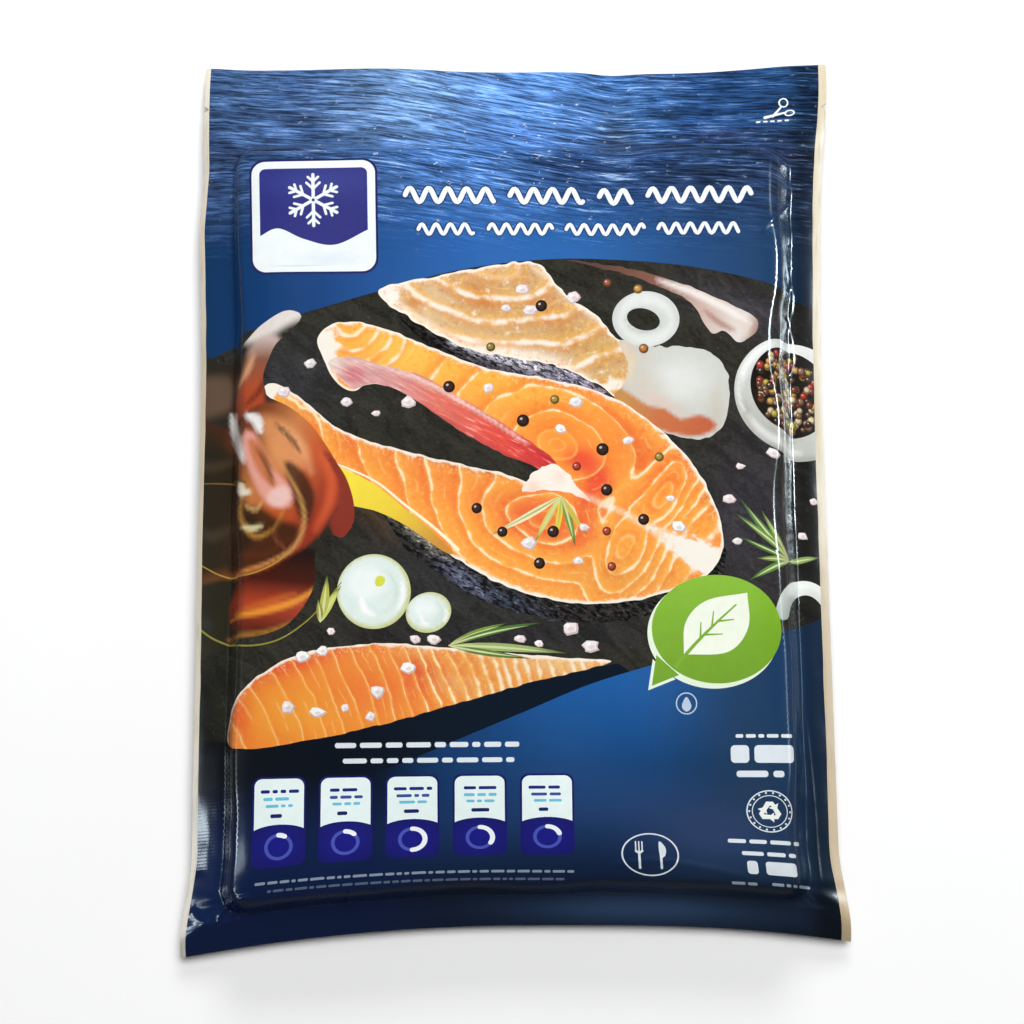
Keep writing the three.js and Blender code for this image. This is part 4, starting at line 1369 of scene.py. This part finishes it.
def flesh_film():
    """Orange flesh between fine white lines, under a pale rim."""
    film = Film("flesh")
    grain = film.attribute("grain")
    phase, rim, fat = film.parts(grain.outputs["Vector"])
    spacing = grain.outputs["Alpha"]
    shake = film.math("SUBTRACT", film.noise((3.4, 3.4), 3.0), 0.5)
    place = film.math("ADD", phase, film.math("DIVIDE", shake, spacing))
    off = film.math("ABSOLUTE", film.math("SUBTRACT", film.math("FRACT", place), 0.5))
    off = film.product(off, spacing)  # mm from the nearest line
    past = film.math("FRACT", film.math("ADD", place, 0.5))  # 0 on a line, 1 on the next one
    tone = film.math("MULTIPLY_ADD", film.noise((16, 16), 2.0), 0.1, INK_STRENGTH - 0.04)
    colour = film.scaled(film.ink, tone)

    # Between two lines the flesh goes from deep to bright, and is mottled. Lean flesh has less of both.
    lively = film.step(fat, -0.3, 0.0, 0.3, 1.0)
    deeper = film.times(colour, (0.9, 0.42, 0.3))
    colour = film.over(colour, deeper, film.step(past, 0.5, 0.0), lively, 0.55)
    colour = film.over(colour, "fdc050", film.step(past, 0.45, 1.0), lively, 0.3)
    mottle = film.noise((2.6, 2.6), 4.0, 0.7)
    rough = film.product(film.math("MULTIPLY_ADD", fat, 0.8, 0.5), lively)
    colour = film.over(colour, "fdc868", film.step(mottle, 0.52, 0.78), rough)
    colour = film.over(colour, deeper, film.step(mottle, 0.46, 0.22), rough)

    # The lines are wider and whiter where there is more fat, with a halo and some fainter lines midway.
    swell = film.noise((7, 7), 3.0)
    width = film.math("MULTIPLY_ADD", fat, 2.6, film.step(swell, 0.3, 0.72, 0.22, 0.85))
    width = film.math("MAXIMUM", width, 0.2)
    halo = film.step(off, film.math("MULTIPLY_ADD", width, 2.2, 0.6), film.product(width, 0.5))
    colour = film.over(colour, "fdbe54", halo, 0.36)
    finer = film.step(film.math("ABSOLUTE", film.math("SUBTRACT", past, 0.52)), 0.07, 0.01)
    colour = film.over(colour, "fdd080", finer, film.step(film.noise((9, 9), 2.0), 0.48, 0.62), 0.3)
    line = film.step(off, film.product(width, 1.25), film.product(width, 0.15))
    strong = film.product(film.step(swell, 0.32, 0.6, 0.12, 0.92), film.step(phase, 1.2, 2.6, 0.12, 1.0))
    whiter = film.mix(film.step(fat, 0.05, 0.3), rgb("feeabc"), rgb("fcf3e4"))
    colour = film.over(colour, whiter, line, film.step(fat, -0.3, -0.1, 0.55, 1.0), strong)

    # Crumbs and pits near the rim, patches of fat, and the pale rim over them all
    near_rim = film.step(rim, 6.0, 0.5)
    crumbs = film.step(film.noise((1.4, 1.4), 3.0, 0.7), 0.55, 0.68)
    colour = film.over(colour, "feedd0", crumbs, near_rim, 0.45)
    pits = film.step(film.noise((1.9, 1.9), 3.0, 0.7), 0.4, 0.3)
    colour = film.over(colour, "dc5c18", pits, near_rim, 0.5)
    patches = film.math("SUBTRACT", film.noise((4, 4), 4.0, 0.65), 0.5)
    pale = film.math("MULTIPLY_ADD", patches, 1.4, fat)
    colour = film.over(colour, "f8f2e6", film.step(pale, 0.42, 0.8))
    uneven = film.math("MULTIPLY_ADD", film.noise((4, 4), 4.0), 3.4, -0.8)
    edge = film.step(rim, film.math("ADD", uneven, 0.6), film.product(uneven, 0.5))
    return film.finish(film.over(colour, "fbf3e4", edge, 0.9))


def lining_film():
    """The smooth pink wall of the belly, with fine streaks along it."""
    film = Film("lining")
    fibres = film.noise((9, 1.1), 4.0, 0.6, turn=-27)
    tone = film.step(fibres, 0.3, 0.7, 0.8 * INK_STRENGTH, 1.08 * INK_STRENGTH)
    pale = film.step(fibres, 0.58, 0.75)
    return film.finish(film.over(film.scaled(film.ink, tone), "f6cfc2", pale, 0.6))


def skin_film():
    """Dark fish skin with silvery scales."""
    film = Film("skin")
    scales = film.noise((3.6, 1.4), 4.0, 0.72, turn=-28)
    tone = film.step(scales, 0.4, 0.6, 0.12 * INK_STRENGTH, 1.3 * INK_STRENGTH)
    flecks = film.step(film.noise((2.6, 0.9), 2.0, turn=-24), 0.58, 0.72, 1.0, 3.2)
    return film.finish(film.scaled(film.scaled(film.ink, tone), flecks))


def ink_film():
    """Plain print, a little uneven."""
    film = Film("ink")
    tone = film.math("MULTIPLY_ADD", film.noise((5, 5), 5.0, 0.65), 0.12, INK_STRENGTH - 0.06)
    return film.finish(film.scaled(film.ink, tone))


def bare_film():
    """Unprinted film: cream, with faint streaks, and duller than the print."""
    film = Film("bare")
    streak = film.step(film.noise((1.2, 16), 4.0), 0.5, 0.75)
    cream = film.scaled(film.ink, INK_STRENGTH)
    return film.finish(film.over(cream, "a8977a", streak, 0.4), BARE_ROUGHNESS)


# ---------------------------------------------------------------- the piece
pouch = bpy.data.objects.new("pouch_film", build_mesh("pouch_film"))
bpy.context.scene.collection.objects.link(pouch)
for make in (sea_film, slate_film, flesh_film, lining_film, skin_film, ink_film, bare_film):
    pouch.data.materials.append(make())
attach(pouch, "root")
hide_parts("pouch")


# ---------------------------------------------------------------- floor, light and camera
FLOOR_HALF, FLOOR_Z = 3.0, -0.0003
HIGHLIGHT_TINT = (0.78, 0.92, 1.0)
WORLD_LIGHT = 0.09
SENSOR, FOCAL_LENGTH = 36, 68.53
AZIMUTH, ELEVATION, DISTANCE = math.radians(-0.45), math.radians(79.76), 0.76
TARGET = Vector((-0.00012, -0.00659, 0))


def pale_floor():
    material = bpy.data.materials.new("floor_paint")
    material.use_nodes = True
    shader = material.node_tree.nodes["Principled BSDF"]
    grain = material.node_tree.nodes.new("ShaderNodeTexNoise")
    grain.inputs["Scale"].default_value = 60
    tone = material.node_tree.nodes.new("ShaderNodeMapRange")
    tone.inputs["To Min"].default_value, tone.inputs["To Max"].default_value = 0.93, 0.95
    material.node_tree.links.new(grain.outputs["Fac"], tone.inputs["Value"])
    material.node_tree.links.new(tone.outputs[0], shader.inputs["Base Color"])
    shader.inputs["Roughness"].default_value = 0.9
    mesh = bpy.data.meshes.new("floor")
    r, z = FLOOR_HALF, FLOOR_Z
    mesh.from_pydata([(-r, -r, z), (r, -r, z), (r, r, z), (-r, r, z)], [], [(0, 1, 2, 3)])
    mesh.materials.append(material)
    floor = bpy.data.objects.new("floor", mesh)
    floor.visible_glossy = False  # so that the film's steep sides stay dark, as over a dark table
    bpy.context.scene.collection.objects.link(floor)
    return floor


def softbox(name, direction, distance, width, height, power, mirrored=True):
    """An area light that faces the pouch. The mirrored ones only make the film's highlights, and the others
    leave none."""
    light = bpy.data.lights.new(name, "AREA")
    light.color = HIGHLIGHT_TINT if mirrored else (1.0, 1.0, 1.0)
    light.shape, light.size, light.size_y = "RECTANGLE", width, height
    light.energy = power
    lamp = bpy.data.objects.new(name, light)
    way = Vector(direction).normalized()
    lamp.location = way * distance
    lamp.rotation_mode = "QUATERNION"
    lamp.rotation_quaternion = way.to_track_quat("Z", "Y")
    lamp.visible_glossy, lamp.visible_diffuse = mirrored, not mirrored
    bpy.context.scene.collection.objects.link(lamp)


pale_floor()
softbox("top", (0.12, 0.3, 0.93), 2.2, 1.7, 1.5, 47, mirrored=False)
softbox("behind", (0.08, 0.84, 0.5), 2.2, 0.9, 0.5, 24, mirrored=False)  # for the shadow below the pack
softbox("north", (-0.2, 0.9, 0.34), 2.2, 1.6, 0.4, 3.5)
softbox("corner", (-0.7, -0.45, 0.55), 1.8, 0.14, 0.2, 3.0)
softbox("right", (0.9, 0.25, 0.4), 1.8, 0.27, 0.26, 26)
softbox("right_low", (0.9, 0.03, 0.5), 1.8, 0.2, 0.24, 1.2)
softbox("left", (-0.86, -0.1, 0.5), 2.0, 0.2, 0.5, 7)
softbox("left_high", (-0.7, -0.2, 0.68), 2.0, 0.22, 0.8, 3.4)

world = bpy.data.worlds.new("studio")
world.use_nodes = True
background = world.node_tree.nodes["Background"]
background.inputs["Color"].default_value = (1, 1, 1, 1)
background.inputs["Strength"].default_value = WORLD_LIGHT
bpy.context.scene.world = world
bpy.context.scene.view_settings.view_transform = "Standard"

camera = bpy.data.objects.new("camera", bpy.data.cameras.new("camera"))
camera.data.sensor_width, camera.data.lens = SENSOR, FOCAL_LENGTH
back = Vector((
    math.sin(AZIMUTH) * math.cos(ELEVATION),
    -math.cos(AZIMUTH) * math.cos(ELEVATION),
    math.sin(ELEVATION),
))
camera.location = TARGET + back * DISTANCE
camera.rotation_mode = "QUATERNION"
camera.rotation_quaternion = back.to_track_quat("Z", "Y")
bpy.context.scene.collection.objects.link(camera)
bpy.context.scene.camera = camera
